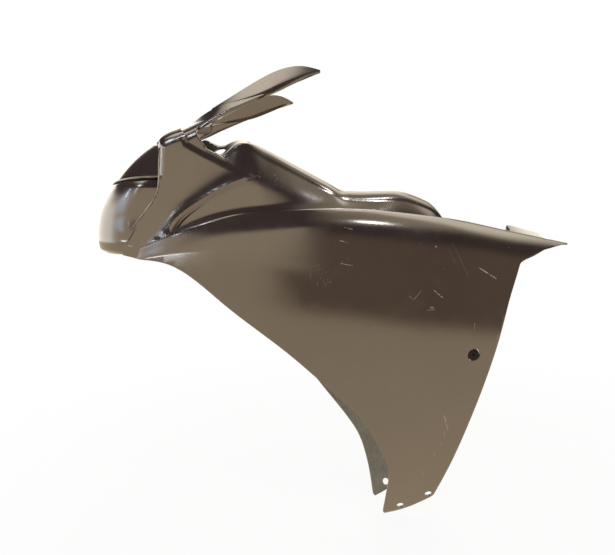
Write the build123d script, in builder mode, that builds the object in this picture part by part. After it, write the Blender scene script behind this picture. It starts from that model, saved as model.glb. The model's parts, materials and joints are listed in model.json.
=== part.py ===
"""Racing upper fairing with bare holes and no screen: one glass-fibre moulding. Millimetres.

Layout frame: X to the rear, left side at -Y, Z up. The finished moulding is moved so that its
origin is halfway between the two side fixing holes.
"""

import os

from build123d import *

# laminate
wall = 3.0

# side fixing holes, one in each panel on one cross axis
side_hole_x = 440.0
side_hole_z = -266.0
side_hole_r = 11.0

# belly fixing holes near the bottom tips, two in each panel: x, half width and z of the centre on
# the outer side, and the direction square to the left panel there
tip_hole_r = 7.0
tip_hole_front = (368.0, 52.3, -618.0)
tip_hole_rear = (419.0, 73.2, -587.0)
tip_square = (-0.087, -0.882, -0.462)

# hole in each screen rim
rim_hole_r = 8.0
rim_hole_x = 19.0
rim_hole_y = 109.0

# flat flank of the nose, half width flank_w at flank_x, level zero
flank_x = -70.0
flank_w = 108.0
flank_flare = 0.37
flank_lean = 0.127

# side-view outline of the flat flank: front lip, ridge line, joggle line to the deck
flank_lip = ((-83, 80), (-85, 47), (-88, 13), (-104, -15), (-134, -53), (-152, -80))
flank_ridge = ((-75, -59), (-57, -35), (-30, -13), (8, 10), (48, 28), (78, 37))
flank_joggle = ((78, 37), (26, 59), (-7, 76), (-36, 93))
flank_foot = -118.0

# deck over the nose, rising to the rear, and the joggle down to the screen flange behind it
deck_x = -90.0
deck_z = 98.5
deck_rise = 0.565
deck_depth = 30.0
deck_foot = -120.0
joggle = 4.0

# half of the deck arch: shares of the half width and of the depth
deck_arch = ((1, 0), (0.965, 0.5), (0.82, 0.82), (0.5, 0.96), (0, 1))
arch_shares = (0, 0.1, 0.2, 0.33, 0.5)

# rounded rear end of the screen flange in side view
flange_turn = ((-5, 84), (-14, 97), (-19, 104), (-21, 112), (-16, 122), (20, 150))

# ridge bead along the lower edge of the flat flank
ridge_r = 4.5
ridge_end = (74, 36)

# lower body guides along x: crease half width, crease height, belly half width, belly below crease
crease_w = ((-170, 58), (-110, 100), (-40, 135), (60, 169), (200, 193), (380, 201), (500, 199), (620, 189))
crease_z = ((-170, -112), (-110, -80), (-40, -50.5), (60, -24), (200, -17), (380, -32), (500, -55), (620, -79))
belly_w = ((-170, 61), (-110, 106), (-40, 145), (60, 184), (200, 212), (380, 222), (500, 219), (620, 206))
belly_h = ((-170, 8), (-110, 22), (-40, 42), (60, 70), (200, 100), (380, 125), (500, 127), (620, 125))
body_front = -170.0
body_pitch = 66.0
body_stations = 13

# belly below its widest level: depth, and draw-in for a half width of belly_full
belly_full = 225.0
belly_foot = ((520, 204), (250, 66), (125, 16), (0, 0))
belly_shares = (0, 0.538, 0.776, 1)

# shoulder from the widest level to the crease: shares of the draw-in and of the height
shoulder = ((0, 0), (0.05, 0.55), (0.4, 0.84), (1, 1))
shoulder_shares = (0, 0.527, 0.812, 1)

# upper band guides along x: half width and height at the gutter, half width and height of the rim
gutter_w = ((-78, 105), (20, 137), (86, 159), (148, 176), (210, 186), (310, 191), (414, 188))
gutter_z = ((-78, -66), (20, -31), (86, -22), (148, -18), (210, -17), (310, -25), (372, -40), (414, -98))
rim_w = ((-78, 91), (-20, 109), (20, 124), (55, 137), (86, 147), (148, 160), (206, 166), (308, 169), (414, 166))
rim_front_z = ((-78, 60), (-20, 82), (20, 80), (55, 91), (86, 78), (148, 44), (206, 13))
rim_rear_z = ((231, 10), (308, 13), (366, -3), (394, -28), (414, -70))
band_x = (-78, -49, -20, 20, 55, 86, 117, 148, 177, 206, 240, 274, 308, 338, 366, 394, 414)
band_foot = 60.0
rim_roll = 9.0

# nose: level, tip position, flank offset (positive stands inside the flat flank)
nose_levels = (
    (-98.0, -190.0, 10.0),
    (-90.0, -202.0, 2.0),
    (-68.0, -206.0, -1.5),
    (-31.0, -200.5, 4.0),
    (5.0, -184.0, 8.0),
    (26.0, -168.0, 11.0),
    (60.0, -135.0, 13.0),
    (92.0, -101.0, 26.0),
)
nose_back = -80.0
nose_depth = 75.0
nose_shares = (0, 0.16, 0.355, 0.5, 0.645, 0.84, 1)

# screen arm: x, lower edge half width and height, upper edge half width and height, and the share
# of the way up at which the screen seat steps in
arm_stations = (
    (-34.0, 99.0, 113.0, 62.0, 124.0, 1.0),
    (6.0, 114.0, 128.0, 94.0, 152.0, 0.84),
    (50.0, 130.0, 149.0, 112.0, 177.0, 0.38),
    (90.0, 143.0, 167.5, 122.0, 200.0, 0.04),
    (128.0, 153.0, 182.5, 135.0, 214.5, 0.0),
    (156.0, 161.0, 194.0, 151.0, 214.5, 0.0),
    (180.0, 168.5, 203.0, 167.0, 206.0, 0.0),
)
seat_step = 2.5
seat_lap = 3.0

# cockpit opening in plan, left edge from the screen foot to the rear
cockpit_front = ((-18, 0), (-14, -40), (0, -75), (22, -97), (60, -117), (120, -134))
cockpit_rear = ((206, -147), (310, -151), (400, -171), (500, -175), (640, -168))

# side-view edges of the lower body: chin and front edge, lower edge, bottom tip, rear edge, rear fin
chin_edge = ((-215, -97.5), (-150, -97.5), (-133, -101), (-122, -104))
front_edge = ((-122, -104), (-72, -110), (-32, -132), (18, -174), (122, -258), (193, -325), (250, -381))
lower_edge = ((250, -381), (281, -427), (308, -476), (329, -522), (333, -561), (336, -642))
tip_edge = ((336, -642), (376, -629), (430, -593))
rear_edge = ((430, -593), (447, -498), (460, -390), (472, -298), (484, -234), (497, -171), (515, -109))
fin_edge = ((515, -109), (615, -78), (660, -78))

# air slot under the nose lip, and the lip blade, left half in front view
slot_edge = ((20, 16), (0, 16), (-74, 20), (-80, 24), (-78, 30), (0, 23), (20, 23))
lip_edge = ((20, 23), (0, 23), (-76, 30), (-76, 32.6), (0, 25.6), (20, 25.6))
lip_proud = 2.5
nose_front = -230.0


def smooth(table, x):
    """Smooth value between the given places, without overshoot."""
    n = len(table)
    xs = [float(p[0]) for p in table]
    ys = [float(p[1]) for p in table]
    rise = [(ys[i + 1] - ys[i]) / (xs[i + 1] - xs[i]) for i in range(n - 1)]
    slope = [rise[0]]
    for i in range(1, n - 1):
        a, b = rise[i - 1], rise[i]
        slope.append(2 * a * b / (a + b) if a * b > 0 else 0.0)
    slope.append(rise[-1])
    i = 0
    while i < n - 2 and x > xs[i + 1]:
        i += 1
    h = xs[i + 1] - xs[i]
    t = (x - xs[i]) / h
    return (
        (1 + 2 * t) * (1 - t) ** 2 * ys[i]
        + t * (1 - t) ** 2 * h * slope[i]
        + t * t * (3 - 2 * t) * ys[i + 1]
        + t * t * (t - 1) * h * slope[i + 1]
    )


def flank(x, z):
    """Half width of the flat flank."""
    return flank_w + flank_flare * (x - flank_x) - flank_lean * z


def curve(points, shares, ends=None):
    """Spline through the points, each at its share of the curve, with the two end directions."""
    add(Edge.make_spline(list(points), tangents=ends, parameters=list(shares)))


def body_plug(inset):
    """Left half of the lower body: belly curve up to the crease, then down into the gutter."""
    with BuildPart() as plug:
        for i in range(body_stations):
            x = body_front + body_pitch * i
            top_w = smooth(crease_w, x)
            top_z = smooth(crease_z, x)
            full_w = smooth(belly_w, x)
            rise = smooth(belly_h, x)
            low_z = top_z - rise
            k = full_w / belly_full
            draw = full_w - top_w
            belly = [(k * d + inset - full_w, low_z - h) for h, d in belly_foot]
            side = [(draw * u + inset - full_w, low_z + rise * v) for u, v in shoulder]
            side[-1] = (0.7 * inset - top_w, top_z - 1.1 * inset)
            shelf = (-0.62 * top_w, top_z - 0.2 * top_w - 1.1 * inset)
            with BuildSketch(Plane.YZ.offset(x)):
                with BuildLine():
                    curve(belly, belly_shares, [(-0.58 * k, 1), (-0.002, 1)])
                    curve(side, shoulder_shares, [(0.002, 1), (draw, 0.16 * rise)])
                    Polyline(side[-1], shelf, (20, shelf[1]), (20, belly[0][1]), belly[0])
                make_face()
        loft()
    return plug.part


def band_plug(inset):
    """Left half of the recessed upper wall with its rolled rim."""
    with BuildPart() as plug:
        for x in band_x:
            low_w = smooth(gutter_w, x) - inset
            low_z = smooth(gutter_z, x)
            top_w = smooth(rim_w, x) - inset
            top_z = smooth(rim_front_z + rim_rear_z, x) - inset
            foot = (-low_w - 6.0, low_z - band_foot)
            base = (-low_w, low_z - 5.0)
            middle = (-0.4 * low_w - 0.6 * top_w - 2.0, 0.5 * low_z + 0.5 * (top_z + inset))
            shoulder_point = (-top_w, top_z - rim_roll)
            turn = (0.3 * rim_roll - top_w, top_z - 0.3 * rim_roll)
            top = (rim_roll - top_w, top_z)
            with BuildSketch(Plane.YZ.offset(x)):
                with BuildLine():
                    Line(foot, base)
                    curve((base, middle, shoulder_point), (0, 0.5, 1))
                    curve((shoulder_point, turn, top), (0, 0.5, 1), [(0, 1), (1, 0)])
                    Polyline(top, (20, top_z), (20, foot[1]), foot)
                make_face()
        loft()
    return plug.part


def deck_plug(inset):
    """Flat flanks under an arched deck, as a solid."""
    arch = [*deck_arch, *[(-u, v) for u, v in reversed(deck_arch[:-1])]]
    shares = [*arch_shares, *[1 - s for s in reversed(arch_shares[:-1])]]
    with BuildPart() as plug:
        for x in (-170.0, -100.0, -30.0, 40.0, 110.0):
            crown = deck_z + deck_rise * (x - deck_x) - 1.15 * inset
            spring = crown - deck_depth
            foot_w = flank(x, deck_foot) - inset
            spring_w = flank(x, spring) - inset
            with BuildSketch(Plane.YZ.offset(x)):
                with BuildLine():
                    Line((-foot_w, deck_foot), (-spring_w, spring))
                    curve([(-spring_w * u, spring + deck_depth * v) for u, v in arch], shares)
                    Polyline((spring_w, spring), (foot_w, deck_foot), (-foot_w, deck_foot))
                make_face()
        loft()
    return plug.part


def nose_plug(inset):
    """Rounded nose between the two flanks, as a solid."""
    with BuildPart() as plug:
        for i, (z, tip_x, offset) in enumerate(nose_levels):
            low = inset if i == 0 else 0.0
            high = inset if i == len(nose_levels) - 1 else 0.0
            level = z + low - high
            side_x = tip_x + min(nose_depth, 0.6 * (nose_back - tip_x))
            cheek_x = tip_x + inset + 0.23 * (side_x - tip_x)
            side_w = flank(side_x, level) - offset - inset
            back_w = flank(nose_back, level) - max(offset, 4.0) - 6.0 - inset
            left = [(nose_back, -back_w), (side_x, -side_w), (cheek_x, -0.55 * side_w)]
            right = [(px, -py) for px, py in reversed(left)]
            with BuildSketch(Plane.XY.offset(level)):
                with BuildLine():
                    curve([*left, (tip_x + inset, 0), *right], nose_shares)
                    Line(right[-1], left[0])
                make_face()
        loft()
    return plug.part


def flank_outline(step):
    """Side-view prism of the flat flank: lip, gutter, ridge, joggle line; step draws it in."""
    lip = [(x + step, z) for x, z in flank_lip]
    ridge_line = [(x - step, z + step) for x, z in flank_ridge]
    ridge_line[0] = (flank_ridge[0][0] - step, flank_ridge[0][1])
    ridge_line[-1] = (flank_ridge[-1][0] - step, flank_ridge[-1][1])
    joggle_line = [(x - step, z - step) for x, z in flank_joggle]
    with BuildPart() as prism:
        with BuildSketch(Plane.XZ):
            with BuildLine():
                Polyline((-60 + step, 170), (-92 + step, 110), lip[0])
                Spline(*lip)
                Polyline(lip[-1], (lip[-1][0], flank_foot), (-82 - step, flank_foot), ridge_line[0])
                Spline(*ridge_line)
                Polyline(
                    ridge_line[-1],
                    *joggle_line[1:],
                    (-44 - step, 111),
                    (-55 - step, 140),
                    (-60 + step, 170),
                )
            make_face()
        extrude(amount=300, both=True)
    return prism.part


def flange_outline(step):
    """Side-view prism of the recessed screen flange, rounded where the hand cut-out begins."""
    turn = [(x - step, z) for x, z in flange_turn]
    turn[0] = (turn[0][0], flange_turn[0][1] - step)
    turn[1] = (turn[1][0], flange_turn[1][1] - step)
    with BuildPart() as prism:
        with BuildSketch(Plane.XZ):
            with BuildLine():
                Polyline((-110 + step, -40), (-6, 40), *turn, (0, 190), (-110 + step, 130), close=True)
            make_face()
        extrude(amount=300, both=True)
    return prism.part


def plug(inset):
    """The whole form, drawn in by the laminate when inset is given."""
    with BuildPart() as form:
        add(nose_plug(inset))
        add(body_plug(inset))
        add(band_plug(inset))
        add(deck_plug(inset) & flank_outline(inset))
        add(deck_plug(inset + joggle) & flange_outline(inset))
    return form.part


def core():
    """Clear space under the screen flange and behind the nose, between the side walls."""
    with BuildPart() as space:
        with Locations((-35, -41, 110)):
            Box(90, 82, 110)
    with BuildPart() as throat:
        with Locations((-76, -50.5, -76)):
            Box(10, 101, 42)
    return (space.part & deck_plug(wall + joggle)) + throat.part


def strip(stations, depth):
    """Strip of laminate through stations of x, two edge points and the outward side, set in by depth."""
    with BuildPart() as leaf:
        for x, low_w, low_z, high_w, high_z in stations:
            run = ((low_w - high_w) ** 2 + (high_z - low_z) ** 2) ** 0.5
            in_y = (high_z - low_z) / run
            in_z = (high_w - low_w) / run
            near = [(-low_w, low_z), (-high_w, high_z)]
            outer = [(y + depth * in_y, z + depth * in_z) for y, z in near]
            inner = [(y + wall * in_y, z + wall * in_z) for y, z in reversed(outer)]
            with BuildSketch(Plane.YZ.offset(x)):
                with BuildLine():
                    Polyline(*outer, *inner, close=True)
                make_face()
        loft()
    return leaf.part


def arm():
    """Left screen arm: an outer rail that tapers off, and the screen seat stepped in above it."""
    rail = []
    seat = []
    for x, low_w, low_z, high_w, high_z, seam in arm_stations:
        run = ((low_w - high_w) ** 2 + (high_z - low_z) ** 2) ** 0.5
        lap = max(seam - seat_lap / run, 0.0)
        if seam > 0:
            rail.append((x, low_w, low_z, low_w + seam * (high_w - low_w), low_z + seam * (high_z - low_z)))
        if seam < 1:
            seat.append((x, low_w + lap * (high_w - low_w), low_z + lap * (high_z - low_z), high_w, high_z))
    return strip(rail, 0.0) + strip(seat, seat_step)


def ridge():
    """Left ridge bead, on two tangent arcs in the plane of the flat flank."""
    start, near, middle, end = [
        (x, 1.0 - flank(x, z), z) for x, z in (flank_ridge[0], flank_ridge[1], flank_ridge[2], ridge_end)
    ]
    with BuildPart() as bead:
        with BuildLine() as line:
            first = ThreePointArc(start, near, middle)
            TangentArc(middle, end, tangent=first % 1)
        with BuildSketch(Plane(first @ 0, z_dir=first % 0)):
            Circle(ridge_r)
        sweep(path=line.wire())
    return bead.part


def outline_cut():
    """What lies in front of, below and behind the side panels, in side view."""
    with BuildPart() as prism:
        with BuildSketch(Plane.XZ):
            with BuildLine():
                Polyline(*chin_edge)
                Spline(*front_edge)
                Spline(*lower_edge)
                Spline(*tip_edge)
                Spline(*rear_edge)
                Polyline(*fin_edge, (660, -760), (chin_edge[0][0], -760), chin_edge[0])
            make_face()
        extrude(amount=300, both=True)
    return prism.part


def cockpit_cut():
    """Opening between the rims, open to the rear, in plan."""
    edge = cockpit_front + cockpit_rear
    with BuildPart() as prism:
        with BuildSketch(Plane.XY.offset(-130)):
            with BuildLine():
                Spline(*edge, tangents=[(0, -1), (1, 0.1)])
                Polyline(edge[-1], (660, 60), (edge[0][0], 60), edge[0])
            make_face()
        extrude(amount=400)
    return prism.part


def slot():
    """Air slot under the nose lip."""
    with BuildPart() as cut:
        with BuildSketch(Plane.YZ.offset(nose_front)):
            with BuildLine():
                Polyline(*slot_edge, close=True)
            make_face()
        extrude(amount=125)
    return cut.part


def lip():
    """Thin lip standing out over the air slot."""
    with BuildPart() as blade:
        with BuildSketch(Plane.YZ.offset(nose_front)):
            with BuildLine():
                Polyline(*lip_edge, close=True)
            make_face()
        extrude(amount=160)
    return (blade.part & nose_plug(-lip_proud)) - nose_plug(wall + 1.0)


# hollow left half
with BuildPart() as half:
    add(plug(0.0))
    add(plug(wall), mode=Mode.SUBTRACT)
    add(core(), mode=Mode.SUBTRACT)
    add(outline_cut(), mode=Mode.SUBTRACT)
    add(cockpit_cut(), mode=Mode.SUBTRACT)
    add(slot(), mode=Mode.SUBTRACT)
    add(lip())
    add(arm())
    add(ridge())
    with Locations((0, 200, 0)):
        Box(2000, 400, 2000, mode=Mode.SUBTRACT)
    with Locations(Location((side_hole_x, -210, side_hole_z), (90, 0, 0))):
        Cylinder(side_hole_r, 120, mode=Mode.SUBTRACT)
    for x, w, z in (tip_hole_front, tip_hole_rear):
        with Locations(Plane((x, -w, z), z_dir=tip_square)):
            Cylinder(tip_hole_r, 40, mode=Mode.SUBTRACT)
    with Locations((rim_hole_x, -rim_hole_y, 80)):
        Cylinder(rim_hole_r, 40, mode=Mode.SUBTRACT)

with BuildPart() as fairing_shell:
    add(half.part.moved(Location((-side_hole_x, 0, -side_hole_z))))
    mirror(about=Plane.XZ)

os.makedirs("parts", exist_ok=True)
fairing_shell.part.label = "fairing_shell"
export_step(fairing_shell.part, "parts/fairing_shell.step")
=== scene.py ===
"""Looks of a bare racing upper fairing: one glossy black glass-fibre moulding on a white floor."""

import json
import math
from functools import reduce

import bpy
import numpy as np
from bpy.props import FloatProperty, FloatVectorProperty, PointerProperty
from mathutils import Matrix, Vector

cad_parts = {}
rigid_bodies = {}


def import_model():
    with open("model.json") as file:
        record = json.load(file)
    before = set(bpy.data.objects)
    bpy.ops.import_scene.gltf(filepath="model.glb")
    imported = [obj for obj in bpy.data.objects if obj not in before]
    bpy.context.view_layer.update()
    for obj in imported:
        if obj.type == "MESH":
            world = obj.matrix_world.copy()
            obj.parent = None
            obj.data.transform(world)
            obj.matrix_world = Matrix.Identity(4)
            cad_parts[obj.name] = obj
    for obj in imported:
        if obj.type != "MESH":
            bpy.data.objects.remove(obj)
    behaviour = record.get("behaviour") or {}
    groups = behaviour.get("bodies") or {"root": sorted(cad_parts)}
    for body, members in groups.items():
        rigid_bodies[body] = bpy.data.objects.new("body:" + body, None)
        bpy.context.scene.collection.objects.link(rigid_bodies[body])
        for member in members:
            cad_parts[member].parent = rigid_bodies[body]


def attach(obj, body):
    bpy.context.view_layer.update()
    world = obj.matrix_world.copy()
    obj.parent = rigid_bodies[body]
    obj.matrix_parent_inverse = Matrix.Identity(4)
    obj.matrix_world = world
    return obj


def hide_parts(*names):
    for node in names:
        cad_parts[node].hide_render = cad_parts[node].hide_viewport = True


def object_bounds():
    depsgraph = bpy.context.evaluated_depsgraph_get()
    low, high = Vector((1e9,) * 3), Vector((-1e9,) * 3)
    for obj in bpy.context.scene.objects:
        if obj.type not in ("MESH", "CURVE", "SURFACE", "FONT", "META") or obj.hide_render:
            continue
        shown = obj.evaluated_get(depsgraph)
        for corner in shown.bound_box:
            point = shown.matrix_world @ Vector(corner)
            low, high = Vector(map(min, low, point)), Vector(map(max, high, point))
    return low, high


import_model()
CAD_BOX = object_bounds()

bl_info = {
    "name": "Racing fairing shell",
    "version": (1, 0, 0),
    "blender": (4, 5, 0),
    "location": "View3D > Sidebar > Fairing",
    "description": "Builds a one-piece glass-fibre upper fairing and its white studio",
    "category": "Object",
}

NODE = "fairing_shell"
BODY = "root"
MM = 0.001

# The guides are in millimetres: x to the rear, half width w to the left, z up, with the zero of x
# and z in front of and above the side fixing hole, which is the origin of the shared frame.
# Holes: place, radius, length of the drill, and the way square to the skin there.
SIDE_HOLE, SIDE_HOLE_R, SIDE_HOLE_RUN = (440.0, -266.0), 11.0, 480.0
TIP_HOLES = ((368.0, 52.3, -618.0), (419.0, 73.2, -587.0))
TIP_HOLE_R, TIP_HOLE_RUN, TIP_SQUARE = 7.0, 40.0, (-0.087, -0.882, -0.462)
RIM_HOLES = ((19.0, 107.5, 78.6),)
RIM_HOLE_R, RIM_HOLE_RUN, RIM_SQUARE = 9.0, 24.0, (0.0, -0.625, 0.781)
DRILL_SIDES, BUSH_SIDES, BEAD_SIDES = 40, 36, 20

# dark rubber bush in the side hole, its dark a painted shade for the inside of the hole: how far
# its face lies inside the belly, and its profile as radius and reach outward
BUSH_INSET = 9.5
BUSH_PROFILE = (
    (2.0, -9.0), (2.0, -1.5), (3.2, -0.4), (6.0, 0.0), (9.0, -0.3), (10.4, -1.4), (10.9, -9.0),
)

# walls and bevels of the laminate, in metres; the wall of the large areas is a property
WELD_GAP, EDGE_BEVEL, EDGE_ANGLE, SMOOTH_ANGLE = 0.00002, 0.0006, 48.0, 38.0
SLOT_WALL, BLADE_WALL, FIN_WALL, DECK_BEVEL = 0.002, 0.0026, 0.0016, 0.0016

# lower body along x: crease half width and height, belly half width, belly depth below the crease
CREASE_W = (
    (-170, 58), (-146, 80), (-110, 106), (-40, 137), (60, 169), (200, 193), (380, 201), (500, 199),
    (620, 189),
)
CREASE_Z = (
    (-170, -108), (-110, -80), (-40, -50.5), (60, -24), (200, -17), (380, -32), (500, -55),
    (620, -79),
)
BELLY_W = (
    (-170, 61), (-146, 83), (-110, 111.5), (-40, 147), (60, 184.5), (200, 212), (380, 222),
    (500, 219), (620, 206),
)
BELLY_H = (
    (-170, 8), (-110, 22), (-40, 42), (60, 70), (200, 100), (380, 125), (500, 127), (620, 125),
)

# section of the lower body: depth and draw below the belly line for a full half width, shares of
# draw and height of the shoulder above it, behind and in front, their blend along x, and the shelf
# behind the crease (its run for each half width, the x where the cockpit edge takes over, its lap)
BELLY_FULL = 225.0
BELLY_FOOT = ((520, 204), (250, 66), (125, 16), (0, 0))
BELLY_SHARES, BELLY_TOE = (0, 0.538, 0.776, 1), 0.58
SHOULDER = ((0, 0), (0.05, 0.55), (0.4, 0.84), (1, 1))
SHOULDER_FRONT = ((0, 0), (0.2, 0.3), (0.6, 0.66), (1, 1))
SHOULDER_SHARES, SHOULDER_TURN = (0, 0.527, 0.812, 1), (0.16, 0.5)
SHOULDER_BLEND = ((-60, 1), (150, 0))
SHELF_RUN, SHELF_END, SHELF_LAP, OFF_SHELF = (0.38, -0.2), 408.0, 6.0, 50.0

# upstand on the crease of the rear fin: its height along x, its lean, its root in the crease and
# the lift of its edge
FIN_RISE = (
    (500, 0), (506, 1), (509, 11), (515, 11.6), (550, 9.7), (570, 9), (590, 3.7), (606, 0.6),
    (620, 0),
)
FIN_LEAN, FIN_ROOT, FIN_LIFT = 22.0, (2.2, -2.5), 1.5

# upper band along x: half width and height at the gutter and of the rim, size of its roll, tilt
# inside it, share of height at the bend, sink, lean and foot of its wall, flare at the gutter (size
# and height), its gap to the crease and its fade
GUTTER_W = ((-78, 110), (20, 145), (86, 166), (148, 176), (200, 178.5), (310, 182), (414, 180))
GUTTER_Z = (
    (-78, -66), (20, -31), (86, -22), (148, -18), (210, -17), (310, -25), (372, -40), (414, -98),
)
RIM_W = (
    (-78, 91), (-20, 109), (20, 124), (55, 137), (86, 147), (148, 161), (206, 171), (308, 176),
    (414, 173),
)
RIM_Z = (
    (-78, 60), (-20, 72), (20, 73), (50, 92), (63, 92.5), (76, 89.5), (100, 78.5), (150, 51.5),
    (199, 25), (224, 13), (250, 12), (308, 13), (366, -3), (394, -28), (414, -70),
)
RIM_ROLL = ((-78, 9), (50, 9), (95, 20), (206, 19), (414, 16))
RIM_TILT = ((-78, 0.8), (-20, 0.8), (20, 0.8), (55, 0.35), (95, 0.0), (414, 0.0))
RIM_INNER, ROLL_TURN, ROLL_START = 70.0, 0.3, (0.15, 1)
BAND_BEND = ((-78, 0.5), (60, 0.55), (78, 0.58), (130, 0.42), (190, 0.25), (414, 0.3))
BAND_SINK, BAND_LEAN, BAND_FOOT = 5.0, 0.09, (30.0, 14.0)
GUTTER_FLARE, CREASE_GAP = (5.0, 6.5), 1.5
FLARE_FADE = ((-78, 1), (170, 1), (250, 0.3), (414, 0.3))

# flat flank, arched deck and their outlines in side view
FLANK_X, FLANK_W, FLANK_FLARE, FLANK_LEAN = -70.0, 108.0, 0.37, 0.127
FLANK_FOOT, FLANK_BOTTOM, FLANK_LAP = -119.0, ((-152, -118), (-82, -118)), 9.0
DECK_CROWN = ((-160, 60), (-95, 99), (-76, 114.5), (-62, 121.5), (-49, 126), (0, 150), (84, 197))
DECK_DEPTH, CROWN_DROP, JOGGLE, DECK_FLAT = 30.0, 1.15, 4.0, 30.0
DECK_ARCH = ((1, 0), (0.955, 0.36), (0.84, 0.70), (0.5, 0.94), (0, 1))
ARCH_SHARES, ARCH_POINTS = (0, 0.1, 0.2, 0.33, 0.5), 32
FLANK_LIP = ((-83, 80), (-85, 47), (-88, 13), (-104, -15), (-134, -53), (-152, -80))
FLANK_RIDGE = ((-75, -59), (-57, -35), (-30, -13), (8, 10), (48, 28), (78, 37))
FLANK_JOGGLE = ((78, 37), (26, 59), (-7, 76), (-36, 93), (-44, 111), (-55, 140), (-60, 170))
DECK_FRONT = ((-86, 40), (-83.5, 62), (-83, 80), (-92, 110))
FLANGE_EDGE = (
    (-110, -40), (-6, 40), (-5, 84), (-14, 97), (-19, 104), (-21, 112), (-16, 122), (20, 150),
    (0, 190), (-110, 130),
)
FLANGE_LOW = 30.0

# forms on the flank: ridge, thin lip bead in pale edge coat (a painted highlight line), rounded
# front edge of the deck, rolled joggle, and the reach of the walls at the lip (added to the inset
# of the nose), the front and the joggle
RIDGE_RISE, RIDGE_REACH, RIDGE_LAP, RIDGE_FALL, RIDGE_END = 5.5, 11.0, 16.0, 20.0, 0.1
RIDGE_SINK, RIDGE_LEAST, RIDGE_TAPER = 1.6, 0.2, ((0.25, 3.0), (0.5, 12.0))
LIP_POINTS, LIP_SINK, LIP_FADE, LIP_GIRTH = 72, 0.5, (8, 12), (0.2, 0.5, 0.5, 0.8)
EDGE_ROUND, EDGE_REACH = 5.0, 10.0
JOGGLE_ROUND, JOGGLE_REACH, JOGGLE_LAP, JOGGLE_TOP = 3.0, 9.0, 7.0, 100.0
ON_EDGE, LIP_WALL, LIP_WALL_LIMITS = 1.5, 12.0, (4.0, 36.0)
FRONT_WALL, JOGGLE_WALL = (8.0, 0.0, -26.0), (2.6, 0.0, -6.5)
FRONT_WALL_Z, JOGGLE_WALL_Z = 79.0, 97.0

# nose levels: height, tip position, how far the nose stands inside the flat flank; then its limits,
# the points of its half plan, how it tucks in behind and rounds off, how far its rows lean with the
# blade at a height, the rows that close chin and top, and its lap behind the lip
NOSE_LEVELS = (
    (-98, -190, 10), (-90, -202, 2), (-68, -206, -2), (-31, -200.5, 1.5), (5, -185, 3),
    (25, -172, 4.5), (43.5, -158, 9), (64, -139.5, 13), (85, -116, 20), (92, -106, 24),
)
NOSE_LOW, NOSE_TOP, CHIN_Z = -98.0, 92.0, -97.5
NOSE_FRONT, NOSE_BACK, NOSE_DEPTH, NOSE_LAP = -210.0, -80.0, 75.0, 5.0
NOSE_SHARES, NOSE_POINTS, NOSE_SPACING = (0, 0.16, 0.355, 0.5, 0.645, 0.84, 1), 48, 1.15
NOSE_SIDE, NOSE_TUCK, NOSE_ROUND = 0.6, (4.0, 6.0), (0.23, 0.55)
TILT_BLEND = ((-30, 0), (4, 1), (32, 1), (60, 0))
CHIN_SHARES, TOP_SHARES, LIP_LAP = (0, 0.35, 0.7, 0.9), (0.7, 0.3, 0), 7.0

# blade over the air slot: height at the middle, slope and half width, and how far it stands out and
# in; scoop below it (height and depth at the middle and their gain with w), slot share and depth
BLADE_Z, BLADE_SLOPE, BLADE_END = 24.3, 0.14, 88.0
BLADE_PROUD, BLADE_ROOT, BLADE_REACH, BLADE_FADE, BLADE_LIFT = 2.5, 5.0, 18.0, 10.0, 1.3
SCOOP_HEIGHT, SCOOP_DEPTH, SCOOP_POWER = (1.8, 0.195), (1.0, 0.05), 1.3
SLOT_SHARE, SLOT_DEPTH, SLOT_ACROSS, SLOT_FLOOR = 0.3, 15.0, -40.0, (8.0, 90.0)

# screen arm: x, lower edge half width and height, upper edge half width and height, share of its
# height where the outer rail ends and the screen seat begins; step and lap of the seat, rolled edge
ARM = (
    (-34, 99, 113, 62, 124, 1.0), (6, 114, 128, 94, 152, 0.84), (50, 130, 149, 112, 177, 0.38),
    (90, 143, 167.5, 122, 200, 0.04), (128, 153, 182.5, 135, 214.5, 0),
    (156, 161, 194, 151, 214.5, 0), (180, 168.5, 203, 167, 206, 0),
)
SEAT_STEP, SEAT_LAP = 2.5, 3.0
ARM_ROLL, ARM_ROLL_SHARE = 3.5, 0.3
ARM_SHARES = (0, 0.06, 0.12, 0.18, 0.24, 0.3, 0.45, 0.6, 0.8, 1)

# edges: cockpit in plan, the lower body in side view, and the points of their smooth lines
COCKPIT = (
    (-18, 0), (-14, 40), (0, 75), (22, 97), (60, 117), (120, 134),
    (206, 147), (310, 151), (400, 171), (500, 175), (640, 168),
)
CHIN_EDGE = ((-215, -97.5), (-150, -97.5), (-133, -101), (-122, -104))
FRONT_EDGE = (
    (-122, -104), (-72, -110), (-32, -132), (18, -174), (122, -258), (193, -325), (250, -381),
)
LOWER_EDGE = ((250, -381), (281, -427), (308, -476), (329, -522), (333, -561), (336, -642))
FAR_FRONT_EDGE = (*FRONT_EDGE[:4], (110, -258), (170, -326), (212, -381))
FAR_LOWER_EDGE = (
    (212, -381), (254, -435), (299, -493), (318, -525), (328, -558), (333, -588), (336, -642),
)
TIP_EDGE = ((336, -642), (376, -629), (430, -593))
REAR_EDGE = (
    (430, -593), (447, -498), (460, -390), (472, -298), (484, -234), (497, -171), (515, -109),
)
FIN_EDGE = ((515, -109), (522, -104.5), (541, -98), (564, -88), (612, -78.5), (660, -78))
OUTSIDE = ((660, -760), (-215, -760))
COCKPIT_ENDS, COCKPIT_POINTS, LINE_POINTS, EDGE_POINTS = ((0, 1), (1, -0.1)), 300, 60, 48

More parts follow.
